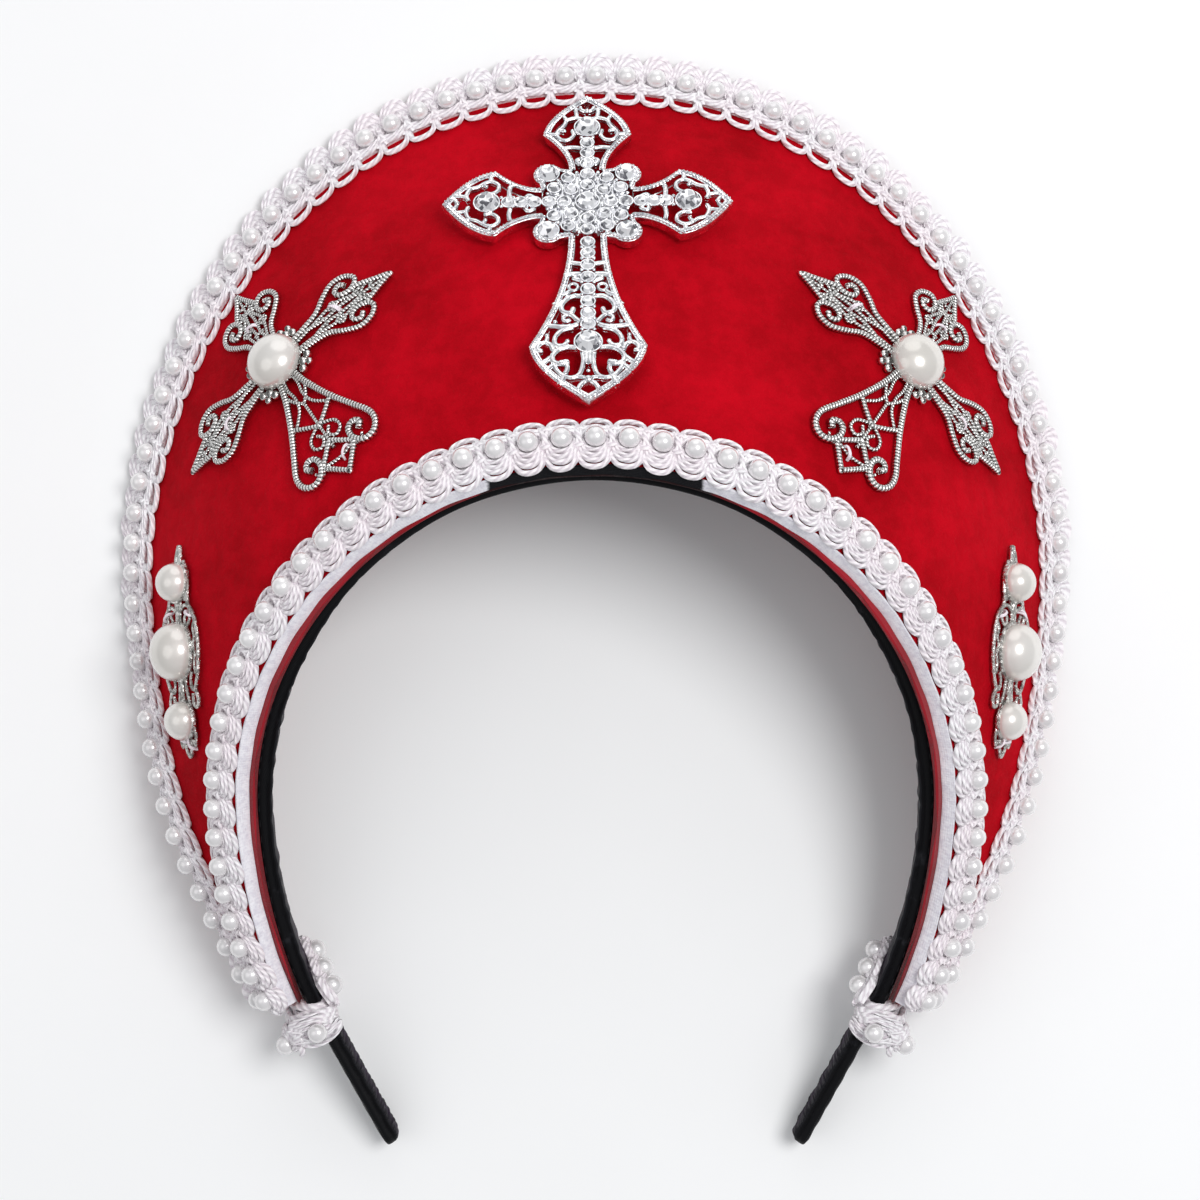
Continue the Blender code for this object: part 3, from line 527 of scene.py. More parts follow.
def smooth_path(points, step, closed=False):
    """Evenly spaced points of a Catmull-Rom curve through the points."""
    points = [Vector(point) for point in points]
    if closed:
        ring = [points[-1], *points, points[0], points[1]]
    else:
        ring = [2 * points[0] - points[1], *points, 2 * points[-1] - points[-2]]
    fine = []
    for a, b, c, d in zip(ring, ring[1:], ring[2:], ring[3:]):
        for part in range(12):
            t = part / 12
            fine.append(0.5 * (2 * b + (c - a) * t + (2 * a - 5 * b + 4 * c - d) * t * t
                               + (3 * b - a - 3 * c + d) * t ** 3))
    fine.append(points[0] if closed else points[-1])
    lengths = [0.0]
    for one, two in zip(fine, fine[1:]):
        lengths.append(lengths[-1] + (two - one).length)
    count = max(2, round(lengths[-1] / step))
    path = []
    for index in range(count if closed else count + 1):
        wanted = lengths[-1] * index / count
        spot = next(i for i in range(1, len(lengths)) if lengths[i] >= wanted - 1e-9)
        run = lengths[spot] - lengths[spot - 1]
        share = (wanted - lengths[spot - 1]) / run if run else 0
        path.append(fine[spot - 1].lerp(fine[spot], share))
    return path


def as_mesh(name, curve):
    piece = bpy.data.objects.new(name, curve)
    bpy.context.scene.collection.objects.link(piece)
    bpy.ops.object.select_all(action="DESELECT")
    piece.select_set(True)
    bpy.context.view_layer.objects.active = piece
    bpy.ops.object.convert(target="MESH")
    return piece


def cord_mesh(name, path, radius, twist, closed=False, sides=1, swell=None):
    """Round cord as a mesh, with UV x counting the turns of its twist. swell scales it point by point."""
    data = bpy.data.curves.new(name, "CURVE")
    data.dimensions = "3D"
    line = data.splines.new("POLY")
    line.points.add(len(path) - 1)
    for index, (point, spot) in enumerate(zip(line.points, path)):
        point.co = (*spot, 1)
        point.radius = swell[index % len(swell)] if swell else 1
    line.use_cyclic_u = closed
    data.bevel_depth = radius
    data.bevel_resolution = sides
    data.use_fill_caps = not closed
    piece = as_mesh(name, data)
    length = sum((two - one).length for one, two in zip(path, path[1:]))
    layer = piece.data.uv_layers[0].data
    values = np.zeros(len(layer) * 2, np.float32)
    layer.foreach_get("uv", values)
    values[::2] *= length / twist
    layer.foreach_set("uv", values)
    return piece


def own_copy(model):
    """Copy of the piece with a mesh of its own."""
    copy = model.copy()
    copy.data = model.data.copy()
    bpy.context.scene.collection.objects.link(copy)
    return copy


def as_one(name, pieces):
    bpy.ops.object.select_all(action="DESELECT")
    for piece in pieces:
        piece.select_set(True)
    bpy.context.view_layer.objects.active = pieces[0]
    bpy.ops.object.join()
    pieces[0].name = name
    return pieces[0]


def joined(name, pieces):
    """Many objects as one, smooth, with its seams merged."""
    return cleaned(as_one(name, pieces), 0.002 * MM, math.radians(60))


def braid_repeat():
    cords = []
    for radius, lean, points in BRAID_CORDS:
        if points[0][0] == 0:
            points = [(-x, y, z) for x, y, z in reversed(points[1:])] + list(points)
        tip = max(abs(y) for _, y, _ in points)
        leaning = [(x + lean * abs(y) / tip, y, z) for x, y, z in points]
        path = [point * MM for point in smooth_path(leaning, 1.65 if radius > GROUND_CORD else 0.62)]
        cords.append(cord_mesh("cord", path, radius * CORD_FULLNESS * MM, TWIST_PITCH))
    return joined("braid_repeat", cords)


def pearl_turns(line):
    """Turns at the middles of the repeats and half way between them, evenly spaced along the line."""
    steps = 1200
    lengths, last = [0.0], line(0)
    for step in range(1, steps + 1):
        point = line(step / steps)
        lengths.append(lengths[-1] + (point - last).length)
        last = point
    halves = 2 * round(lengths[-1] / PEARL_PITCH - 0.5) + 1
    turns = []
    for half in range(halves + 1):
        wanted = half * lengths[-1] / halves - 1e-9
        turns.append(next(step for step, value in enumerate(lengths) if value >= wanted) / steps)
    return [-turn for turn in reversed(turns[1:])] + turns


def pearl_line(turn, inner):
    """Distance of the pearls from the free edge of the velvet."""
    return min(INNER_PEARL_LINE if inner else OUTER_PEARL_LINE, NARROW_SHARE * width_at(turn))


def pearl_frame(turn, inner):
    """Place of a pearl's foot: y to the fans, which hang over the edge of the velvet."""
    share = pearl_line(turn, inner) / width_at(turn)
    place = velvet_frame(turn, share if inner else 1 - share)
    return place @ Matrix.Rotation(math.pi, 4, "Z") if inner else place


def bent_copy(repeat, flat, frames):
    """Copy of the repeat bent through the places before, at and after its pearl."""
    x, y, z = flat.T
    share = x / (HALF_PITCH * MM)
    bent = np.zeros_like(flat)
    for weight, place in zip((share * (share - 1) / 2, 1 - share * share, share * (share + 1) / 2), frames):
        up, out = (np.array(place.col[i].xyz) for i in (1, 2))
        bent += (np.array(place.translation) + np.outer(y, up) + np.outer(z, out)) * weight[:, None]
    copy = own_copy(repeat)
    copy.data.vertices.foreach_set("co", bent.ravel())
    return copy


def braid(name, inner, jitter):
    """Cords along one edge of the crescent, each repeat bent to the edge's curve, and the pearls' places."""
    repeat = braid_repeat()
    flat = np.array([v.co for v in repeat.data.vertices])
    turns = pearl_turns(lambda turn: pearl_frame(turn, inner).translation)
    if inner:
        turns = turns[::-1]
    frames = [pearl_frame(turn, inner) for turn in turns]
    fan_top, fan_ends, change, loops, sag_top, sag_ends = INNER_BRAID if inner else OUTER_BRAID
    copies = []
    for index in range(1, len(turns) - 1, 2):
        turn = turns[index]
        edge = pearl_line(turn, inner)
        room = (0.5 * width_at(turn) - edge) / (LOOP_REACH * MM)
        ends = blend(abs(turn), *change)
        free = fan_top + (fan_ends - fan_top) * ends
        x, y, z = flat.T
        y = np.where(y < -LOOP_START, y * loops, y)
        y = np.where(y < 0, y * min(1.0, max(LEAST_LOOP, room)), y * free * jitter.uniform(*FAN_CHANCE))
        sag = (sag_top + (sag_ends - sag_top) * ends) * frames[index].col[1].z
        z = z * jitter.uniform(*RISE_CHANCE) - np.maximum(0, y - edge) * sag
        copies.append(bent_copy(repeat, np.stack((x, y, z), 1), frames[index - 1:index + 2]))
    bpy.data.objects.remove(repeat)
    return joined(name + "_braid", copies), frames[1::2]


def pearls_on(name, spots, diameter, jitter):
    """Round pearls with their threads' small dimples, one above each spot."""
    model = added(bpy.ops.mesh.primitive_uv_sphere_add, segments=20, ring_count=14, radius=diameter / 2)
    for vertex in model.data.vertices:
        if abs(vertex.co.x) < diameter * 0.08 and abs(vertex.co.y) < diameter * 0.08:
            vertex.co.z *= 0.93
    copies = []
    for spot in spots:
        lean = Matrix.Rotation(math.radians(90 + jitter.uniform(-12, 12)), 4, "Y")
        turned = Matrix.Rotation(math.radians(jitter.uniform(-10, 10)), 4, "Z") @ lean
        copies.append(own_copy(model))
        copies[-1].data.transform(spot @ Matrix.Translation((0, 0, PEARL_HEIGHT)) @ turned)
    bpy.data.objects.remove(model)
    return joined(name, copies)


white_braid = Finish("white_braid", {"Roughness": 0.42, "Specular IOR Level": 0.4, "Sheen Weight": 0.25})
plies = white_braid.stripes(2 * math.pi, 4 * math.pi)
# Painted shade: the grooves between the cord's plies are coloured darker grey.
groove_shade = 1 - white_braid.ramp(plies, 0.02, 0.55)
fibres = white_braid.noise(2600, 3, 0.7)
warmth = white_braid.patches(0.35, 0.65, 60, 3)
cord_white = white_braid.mix(warmth, (0.96, 0.94, 0.96, 1), (0.97, 0.90, 0.93, 1))
white_braid.colour(groove_shade * 0.7, cord_white, (0.66, 0.58, 0.64, 1))
white_braid.bump(plies + fibres * 0.3, 0.22 * MM)

trim_pearl = Finish("trim_pearl", {
    "Metallic": 0.32, "Roughness": 0.26, "Specular IOR Level": 0.6,
    "Coat Weight": 1.0, "Coat Roughness": 0.06,
})
lustre = trim_pearl.patches(0.35, 0.65, 160, 3)
trim_pearl.colour(lustre, (0.80, 0.775, 0.785, 1), (0.88, 0.86, 0.86, 1))

worker = random.Random(4952)
outer_braid, outer_spots = braid("outer", False, worker)
outer_pearls = pearls_on("outer_pearls", outer_spots, PEARL, worker)
inner_braid, inner_spots = braid("inner", True, worker)
inner_pearls = pearls_on("inner_pearls", inner_spots, PEARL, worker)
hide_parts("outer_trim")
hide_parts("inner_trim")
for cords, pearls in ((outer_braid, outer_pearls), (inner_braid, inner_pearls)):
    white_braid.on(cords)
    trim_pearl.on(pearls)
    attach(cords, "root")
    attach(pearls, "root")


# The end wraps: cord wound in three layers round the headband and each end of the crescent, and the braid's
# last repeats over it. One crosses the front, one goes down the outer side and three run on along the band's
# inner side.
WRAP_TURNS = 7
WRAP_LAYERS = (0.25, 0.6, 1.0)
WRAP_STEPS = 18
WRAP_CORD = 0.78 * MM
WRAP_BRAID_SHARE = 0.62
WRAP_PLACES = (0.956, 1.003)
WRAP_WALL = 1.9 * MM
WRAP_OUTER_WALL = 5.2 * MM
# runs of braid: places on the headband, x and z in mm of the pearls' feet and half way between them, and the
# way that the pearls face
WRAP_RUNS = (
    (((0.978, 3.2, 1.2), (0.979, -1.6, 2.3), (0.977, -6.0, 0.6)), (0, 0, 1)),
    (((0.984, -5.6, 0.8), (0.990, -6.6, -2.8), (0.992, -5.4, -6.4)), (-1, 0, 0)),
    (((0.966, 3.6, 0.4), (0.950, 2.9, -1.8), (0.942, 2.8, -3.6), (0.933, 2.7, -5.2), (0.925, 2.7, -7.0),
      (0.917, 2.6, -8.6), (0.909, 2.3, -10.4)), (1, 0, 0)),
)


def wrap_winding():
    pieces = []
    start, end = WRAP_PLACES
    for turn, layer in [(turn, layer) for turn in range(WRAP_TURNS) for layer in WRAP_LAYERS]:
        ring = []
        for step in range(WRAP_STEPS):
            angle = 2 * math.pi * (step + 0.5) / WRAP_STEPS
            x, z = math.cos(angle), math.sin(angle)
            share = (turn + 0.5) / WRAP_TURNS + 0.06 * math.sin(2 * angle + 1.7 * turn)
            place = start + (end - start) * share
            depth = headband_depth(place)
            wall = WRAP_OUTER_WALL if x < 0 else WRAP_WALL
            swell = layer * (0.45 + 0.55 * math.sin(math.pi * min(1, max(0, share))))
            reach = HEADBAND_THICKNESS / 2 + wall * swell
            x = reach * math.copysign(abs(x) ** 0.75, x)
            height = (depth / 2 + 1.5 * MM * swell) * math.copysign(abs(z) ** 0.8, z)
            z = height * (0.86 if math.cos(angle) < -0.3 else 1) - depth / 2
            ring.append(headband_frame(place) @ Vector((x, 0, z)) / MM)
        path = [point * MM for point in smooth_path(ring, 0.7, closed=True)]
        pieces.append(cord_mesh("turn", path, WRAP_CORD, TWIST_PITCH, closed=True))
    return pieces


def wrap_run(spots, facing):
    """Frames along one run of braid on the wrap, its fans toward the tip of the band."""
    points = [headband_frame(place) @ Vector((x * MM, 0, z * MM)) for place, x, z in spots]
    frames = []
    for index, (place, _, _) in enumerate(spots):
        way = (points[min(index + 1, len(points) - 1)] - points[max(index - 1, 0)]).normalized()
        out = (headband_frame(place).to_3x3() @ Vector(facing)).normalized()
        fans = out.cross(way).normalized()
        frames.append(placed(fans.cross(out), fans, out, points[index]))
    return frames


def wrap_cords(side):
    """Cords and pearls of one wrap, built on the right and mirrored for the left."""
    repeat = braid_repeat()
    flat = np.array([v.co for v in repeat.data.vertices])
    flat[:, 1] *= WRAP_BRAID_SHARE
    pieces, spots = wrap_winding(), []
    for run, facing in WRAP_RUNS:
        frames = wrap_run(run, facing)
        for index in range(1, len(frames) - 1, 2):
            pieces.append(bent_copy(repeat, flat, frames[index - 1:index + 2]))
            spots.append(frames[index])
    bpy.data.objects.remove(repeat)
    cords = joined("end_wrap_cords_" + side, pieces)
    pearls = pearls_on("wrap_pearls_" + side, spots, PEARL, worker)
    if side == "left":
        mirrored(cords)
        mirrored(pearls)
    return cords, pearls


def mirrored(piece):
    """The piece's own mesh moved to the other side of the hood, still facing out."""
    piece.data.transform(Matrix.Scale(-1, 4, (1, 0, 0)))
    piece.data.flip_normals()


for side in ("right", "left"):
    cords, pearls = wrap_cords(side)
    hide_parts("end_wrap_" + side)
    white_braid.on(cords)
    trim_pearl.on(pearls)
    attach(cords, "root")
    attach(pearls, "root")


# The centre cross: cast and chromed, a plain frame with a beaded border, scrolls of cast wire inside it, and
# clear stones in cups. It is drawn flat in mm with y to the rim, then laid in its place over the velvet.
CROSS_TURN = -0.008
CROSS_ACROSS = 0.601
CROSS_THICKNESS = 2.2
CROSS_LIFT = 0.3 * MM
FRAME_WIDTH = 1.15
FRAME_ROUNDING = 0.15
BORDER = 0.55
BORDER_BEADS = (1.05, 0.55)
BORDER_INSET = 0.5
SCROLL_FULLNESS = 1.22
LOWER_SCROLL_FULLNESS = 0.9
LOWER_SCROLL_HEIGHT = 1.1
TIP_FULLNESS = 0.85
CORNER_REACH = 8.3
CORNER_SEAT = 3.0
# quarter turns from the rim, neck distance and half width, shoulder distance and half width, tip distance
CROSS_ARMS = (
    (0, 9.6, 3.7, 20.3, 9.3, 32.0),
    (1, 9.6, 4.2, 19.4, 9.3, 30.4),
    (2, 9.6, 3.8, 40.2, 11.8, 54.5),
    (3, 9.6, 4.2, 19.4, 9.3, 30.4),
)
# scrolls of cast wire between the border and the stones, on the right side of the arm that points to the rim:
# radius, then offset and distance from the middle in mm
SHORT_ARM_SCROLLS = (
    (0.50, ((1.0, 16.2), (3.2, 16.5), (5.2, 16.2))),
    (0.46, ((3.2, 21.8), (2.9, 20.2), (3.9, 18.9), (5.5, 18.8), (6.5, 20.2), (6.0, 21.8), (4.9, 21.5))),
    (0.50, ((6.4, 20.3), (8.3, 20.6))),
    (0.46, ((6.2, 21.6), (5.0, 23.1), (4.5, 24.8), (4.9, 25.8))),
    (0.46, ((0.8, 25.0), (2.2, 25.5), (3.6, 25.2), (4.6, 24.6))),
    (0.44, ((2.1, 25.4), (2.4, 27.2), (2.3, 28.6))),
    (0.44, ((0.2, 27.4), (1.2, 28.0), (1.5, 29.0))),
    (0.50, ((1.5, 11.0), (2.3, 12.4), (1.5, 13.0))),
)
LONG_ARM_SCROLLS = (
    (0.52, ((1.0, 17.6), (3.0, 17.3), (4.4, 17.0))),
    (0.60, ((1.3, 20.5), (3.0, 20.5), (5.0, 20.8))),
    (0.50, ((1.0, 22.4), (2.0, 22.0), (3.2, 21.6))),
    (0.50, ((3.6, 25.0), (4.4, 25.8), (5.8, 26.2))),
    (0.56, ((0.8, 26.7), (2.9, 26.6), (4.5, 27.6), (5.4, 29.2), (5.2, 30.7), (4.0, 31.3), (3.2, 30.9),
            (3.0, 29.8))),
    (0.46, ((5.4, 28.6), (6.4, 28.4), (7.2, 29.0))),
    (0.48, ((1.6, 33.8), (2.4, 32.8), (3.2, 31.9), (4.1, 31.4))),
    (0.42, ((3.9, 31.5), (4.9, 32.1), (5.0, 33.1), (4.3, 33.4), (3.7, 33.0))),
    (0.56, ((2.0, 34.3), (4.0, 35.0), (6.2, 34.9), (8.6, 34.5))),
    (0.50, ((3.0, 35.3), (5.0, 35.8), (6.4, 37.2), (6.8, 38.8), (6.3, 40.0), (5.0, 40.0), (4.3, 39.2))),
    (0.56, ((2.2, 40.6), (4.1, 40.5), (6.0, 41.2), (7.2, 42.8), (7.0, 44.3), (5.8, 44.9), (4.3, 44.6))),
    (0.72, ((5.9, 44.9), (4.7, 44.7), (3.9, 44.5))),
    (0.50, ((4.4, 44.9), (4.2, 46.2), (4.7, 47.7))),
    (0.50, ((1.2, 41.4), (1.0, 44.4), (1.7, 47.5), (3.2, 48.6), (5.0, 48.1), (6.4, 46.5), (7.1, 44.6))),
    (0.50, ((7.0, 41.5), (7.7, 39.7), (9.0, 39.2), (10.1, 40.1), (10.0, 41.4), (9.2, 41.3))),
    (0.46, ((8.3, 37.7), (8.4, 38.6), (8.8, 39.3))),
    (0.54, ((7.4, 43.0), (8.6, 44.2), (10.0, 45.0))),
    (0.50, ((7.0, 45.2), (7.9, 46.1), (8.7, 47.2))),
    (0.62, ((4.9, 48.2), (5.3, 49.4), (5.8, 50.6))),
    (0.50, ((0.2, 49.4), (1.4, 50.3), (2.2, 51.9))),
    (0.46, ((0.5, 48.6), (2.0, 48.4), (3.2, 48.7))),
    (0.60, ((0.4, 41.0), (0.35, 43.4), (0.5, 45.2))),
)
# rings and beads of the same wire: offset, distance and radius
LONG_ARM_RINGS = ((3.0, 24.1, 0.95), (2.8, 20.5, 0.40))
LONG_ARM_BEADS = (
    (6.7, 33.7, 0.50), (8.3, 37.4, 0.52), (0.0, 49.2, 0.95), (0.0, 46.9, 0.45), (4.2, 39.0, 0.55),
)
SHORT_ARM_BEADS = ((0.0, 27.4, 0.60), (4.9, 21.4, 0.50), (5.0, 25.9, 0.45))


def quarter_turned(point, quarters):
    x, y = point
    for _ in range(quarters):
        x, y = -y, x
    return x, y


def cross_outline(rim=0.0):
    """Outline of the plate, or of the space inside a border of that width."""
    ring = []
    for quarters, neck, neck_half, shoulder, half, tip in CROSS_ARMS:
        neck_half, half, tip = neck_half - rim, half - 1.15 * rim, tip - 1.35 * rim
        right = []
        for step in range(10):
            part = step / 9
            right.append((neck_half + (half - neck_half) * part ** 2, neck + (shoulder - neck) * part))
        for step in range(1, 9):
            part = step / 8
            right.append((half * (1 - part) * (1 + TIP_FULLNESS * part), shoulder + (tip - shoulder) * part))
        left = [(-x, y) for x, y in reversed(right[:-1])]
        ring += [quarter_turned(point, quarters) for point in right + left]
        x, y = quarter_turned((-CORNER_REACH, CORNER_REACH), quarters)
        for turn in range(-100, 101, 20):
            angle = math.atan2(y, x) + math.radians(turn)
            seat = CORNER_SEAT - rim
            ring.append((x + seat * math.cos(angle), y + seat * math.sin(angle)))
    return ring


def inset(ring, distance):
    """The closed outline moved inwards; its points run anticlockwise."""
    moved = []
    for before, here, after in zip(ring[-1:] + ring[:-1], ring, ring[1:] + ring[:1]):
        way = Vector(after) - Vector(before)
        moved.append(Vector(here) + Vector((-way.y, way.x)).normalized() * distance)
    return moved


def circle(radius, count, start=0.0):
    """Points of a circle round the middle."""
    angles = [start + 2 * math.pi * step / count for step in range(count)]
    return [(radius * math.cos(angle), radius * math.sin(angle)) for angle in angles]


def cast_bead(x, y, z, radius):
    return added(bpy.ops.mesh.primitive_ico_sphere_add, subdivisions=2, radius=radius, location=(x, y, z))


def cast_disc(x, y, z, radius, depth, sides):
    return added(bpy.ops.mesh.primitive_cylinder_add, vertices=sides, radius=radius, depth=depth,
                 location=(x, y, z))


cross_place = velvet_frame(CROSS_TURN, CROSS_ACROSS) @ Matrix.Translation((0, 0, CROSS_LIFT))
cross_place = cross_place @ Matrix.Scale(MM, 4)
outline = cross_outline()
drawing = bpy.data.curves.new("frame", "CURVE")
drawing.dimensions = "2D"
drawing.fill_mode = "BOTH"
drawing.extrude = CROSS_THICKNESS / 2 - FRAME_ROUNDING
drawing.bevel_depth = FRAME_ROUNDING
drawing.bevel_resolution = 1
for ring in (outline, cross_outline(FRAME_WIDTH)):
    line = drawing.splines.new("POLY")
    line.points.add(len(ring) - 1)
    for point, (x, y) in zip(line.points, ring):
        point.co = (x, y, 0, 1)
    line.use_cyclic_u = True
cast = [as_mesh("frame", drawing)]
cast[0].data.transform(Matrix.Translation((0, 0, CROSS_THICKNESS / 2)))
border = smooth_path([(*point, CROSS_THICKNESS) for point in inset(outline, BORDER_INSET)], 0.42, closed=True)
cast.append(cord_mesh("border", border, BORDER, 1, closed=True, sides=2, swell=BORDER_BEADS))

for quarters, *_ in CROSS_ARMS:
    long_arm = quarters == 2
    for side in (1, -1):
        for radius, points in (LONG_ARM_SCROLLS if long_arm else SHORT_ARM_SCROLLS):
            flat = [quarter_turned((side * x, y), quarters) for x, y in points]
            path = smooth_path([(x, y, CROSS_THICKNESS - 0.3) for x, y in flat], 0.3)
            swell = [0.8] + [1.0] * (len(path) - 2) + [0.8]
            cast.append(cord_mesh("scroll", path, radius * SCROLL_FULLNESS, 1, sides=2, swell=swell))
            lower = [Vector((p.x, p.y, LOWER_SCROLL_HEIGHT)) for p in path]
            cast.append(cord_mesh("scroll", lower, radius * LOWER_SCROLL_FULLNESS, 1, swell=swell))
        for x, y, radius in (LONG_ARM_BEADS if long_arm else SHORT_ARM_BEADS):
            spot = quarter_turned((side * x, y), quarters)
            cast.append(cast_bead(*spot, CROSS_THICKNESS - 0.1, radius))
        for x, y, radius in (LONG_ARM_RINGS if long_arm else ()):
            ring = [Vector((side * x + dx, dy - y, CROSS_THICKNESS - 0.2)) for dx, dy in circle(radius, 18)]
            cast.append(cord_mesh("ring", ring, 0.40, 1, closed=True, sides=2))

# name, x, y, diameter of the main stones; the small ones stand in rows along the arms and in rings
MAIN_STONES = (
    ("centre", 0.0, 0.0, 4.8),
    ("corner_1", CORNER_REACH, CORNER_REACH, 4.4),
    ("corner_2", -CORNER_REACH, CORNER_REACH, 4.4),
    ("corner_3", -CORNER_REACH, -CORNER_REACH, 4.4),
    ("corner_4", CORNER_REACH, -CORNER_REACH, 4.4),
    ("top", 0.0, 22.2, 5.2),
    ("left", -21.2, 0.0, 5.2),
    ("right", 21.2, 0.0, 5.2),
    ("bottom", 0.0, -39.4, 5.4),
)
SMALL_STONE = 2.7
SMALL_ROWS = ((0, (11.3, 14.4, 17.5)), (1, (11.2, 14.0, 16.6)), (3, (11.2, 14.0, 16.6)),
              (2, (11.8, 14.9, 18.2, 21.6, 25.0, 28.4, 31.6, 34.6)))
SMALL_RINGS = ((4.9, 8), (8.1, 12))
# share of a stone's width that its height and its table take up
STONE_HEIGHT = 0.34
STONE_TABLE = 0.62
MAIN_SEAT = CROSS_THICKNESS + 0.25
SMALL_SEAT = CROSS_THICKNESS + 0.2
small_spots = [quarter_turned((0, distance), quarters) for quarters, row in SMALL_ROWS for distance in row]
for radius, count in SMALL_RINGS:
    small_spots += circle(radius, count)


def cut_stone(diameter):
    """Round stone with eight crown facets, a table and the star that shows through it, in mm on z = 0."""
    radius = diameter / 2
    height = STONE_HEIGHT * diameter
    stone = added(bpy.ops.mesh.primitive_cone_add, vertices=8, radius1=radius, radius2=radius * STONE_TABLE,
                  depth=height, location=(0, 0, height / 2))
    bpy.ops.object.mode_set(mode="EDIT")
    bpy.ops.mesh.select_all(action="DESELECT")
    bpy.ops.object.mode_set(mode="OBJECT")
    for face in stone.data.polygons:
        face.select = face.normal.z > 0.9
    bpy.ops.object.mode_set(mode="EDIT")
    bpy.ops.mesh.inset(thickness=radius * 0.08)
    bpy.ops.mesh.poke(offset=-radius * 0.16)
    bpy.ops.object.mode_set(mode="OBJECT")
    return stone


def set_stones(model, spots, height, jitter):
    """Copies of the stone at the spots of the cross, each turned by chance."""
    copies = []
    for x, y in spots:
        lean = Matrix.Rotation(math.radians(jitter.uniform(-7, 7)), 4, "X")
        turned = Matrix.Rotation(jitter.uniform(0, 2 * math.pi), 4, "Z")
        copies.append(own_copy(model))
        copies[-1].data.transform(Matrix.Translation((x, y, height)) @ turned @ lean)
        copies[-1].data.transform(cross_place)
    bpy.data.objects.remove(model)
    return copies


# a rim and a cup for each stone, tiny balls of metal between the stones, and a disc behind the middle ones
BEZEL = 0.24
BEZEL_GAP = 0.12
CUP_DEPTH = 1.4
MIDDLE_DISC = 8.9
PRONG = 0.42
PRONG_HEIGHT = CROSS_THICKNESS + 0.30
PRONG_RINGS = ((3.3, 8, 22.5), (6.4, 12, 15.0), (8.7, 12, 15.0), (6.7, 8, 0.0))
PRONG_ASIDE = 1.25
PRONG_AFTER = 1.5
all_stones = [(x, y, diameter / 2) for _, x, y, diameter in MAIN_STONES]
all_stones += [(x, y, SMALL_STONE / 2) for x, y in small_spots]
for x, y, radius in all_stones:
    rim = circle(radius + BEZEL_GAP, max(10, round(radius * 9)))
    ring = [Vector((x + dx, y + dy, MAIN_SEAT)) for dx, dy in rim]
    cast.append(cord_mesh("bezel", ring, BEZEL, 1, closed=True))
    cast.append(cast_disc(x, y, CROSS_THICKNESS - 0.55, radius + 0.1, CUP_DEPTH, 14))
prong_spots = []
for radius, count, start in PRONG_RINGS:
    prong_spots += circle(radius, count, math.radians(start))
for quarters, row in SMALL_ROWS:
    for distance in row:
        for aside in (PRONG_ASIDE, -PRONG_ASIDE):
            prong_spots.append(quarter_turned((aside, distance + PRONG_AFTER), quarters))
cast += [cast_bead(x, y, PRONG_HEIGHT, PRONG) for x, y in prong_spots]
cast.append(cast_disc(0, 0, CROSS_THICKNESS - 1.0, MIDDLE_DISC, 1.6, 40))

for piece in cast:
    piece.data.transform(cross_place)
cross = joined("pierced_cross", cast)
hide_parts("centre_cross")
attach(cross, "root")

bright_silver = Finish("bright_silver", {"Metallic": 1.0, "Roughness": 0.15})
cast_grain = bright_silver.noise(900, 4, 0.7)
# Darker grey in random spots over the metal.
dark_grey_spots = bright_silver.patches(0.40, 0.62, 620, 3)
bright_silver.colour(dark_grey_spots, (0.96, 0.96, 0.97, 1), (0.66, 0.66, 0.69, 1))
bright_silver.paint("Roughness", 0.10 + cast_grain * 0.14)
bright_silver.bump(cast_grain, 0.06 * MM)
bright_silver.on(cross)

crystal = Finish("clear_stone", {
    "Metallic": 0.6, "Roughness": 0.05, "Coat Weight": 1.0, "Coat Roughness": 0.02,
})
flash = crystal.node("ShaderNodeTexVoronoi", {}, {"Vector": crystal.place(), "Scale": 1000}, "Color")
facet_shade = crystal.ramp(crystal.split(flash, 0), 0.08, 0.42)
crystal.colour(facet_shade, (0.16, 0.16, 0.18, 1), (0.98, 0.98, 1.0, 1))

for name, x, y, diameter in MAIN_STONES:
    stone = set_stones(cut_stone(diameter), [(x, y)], MAIN_SEAT, worker)[0]
    stone.name = "faceted_stone_" + name
    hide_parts("cross_stone_" + name)
    crystal.on(stone)
    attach(stone, "root")
small = set_stones(cut_stone(SMALL_STONE), small_spots, SMALL_SEAT, worker)
small_stones = as_one("small_faceted_stones", small)
crystal.on(small_stones)
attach(small_stones, "root")


# The side crosses: old silver filigree of rope-textured wire, bent to the velvet and stitched down, with a
# large pearl cabochon in a collar. Wires are drawn in mm: distance from the middle along an arm, then offset.
SIDE_CROSS_TURN = 0.352
SIDE_CROSS_ACROSS = 0.564
SIDE_CROSS_TWIST = math.radians(11.0)
SIDE_CABOCHON = 12.4
SIDE_CABOCHON_HEIGHT = 5.6
SMALL_CABOCHON = 10
SMALL_CABOCHON_LIFT = 2.0
CABOCHON_LIFT = 2.3
GIRDLE = 0.12
DOME_FULLNESS = 0.94
ROPE_PITCH = 0.78 * MM
WIRE_LIFT = 0.55
# wires over this radius are drawn stouter than the table says, and the others thinner
STOUT_WIRE = 0.49
STOUT, SLENDER = 1.16, 0.92
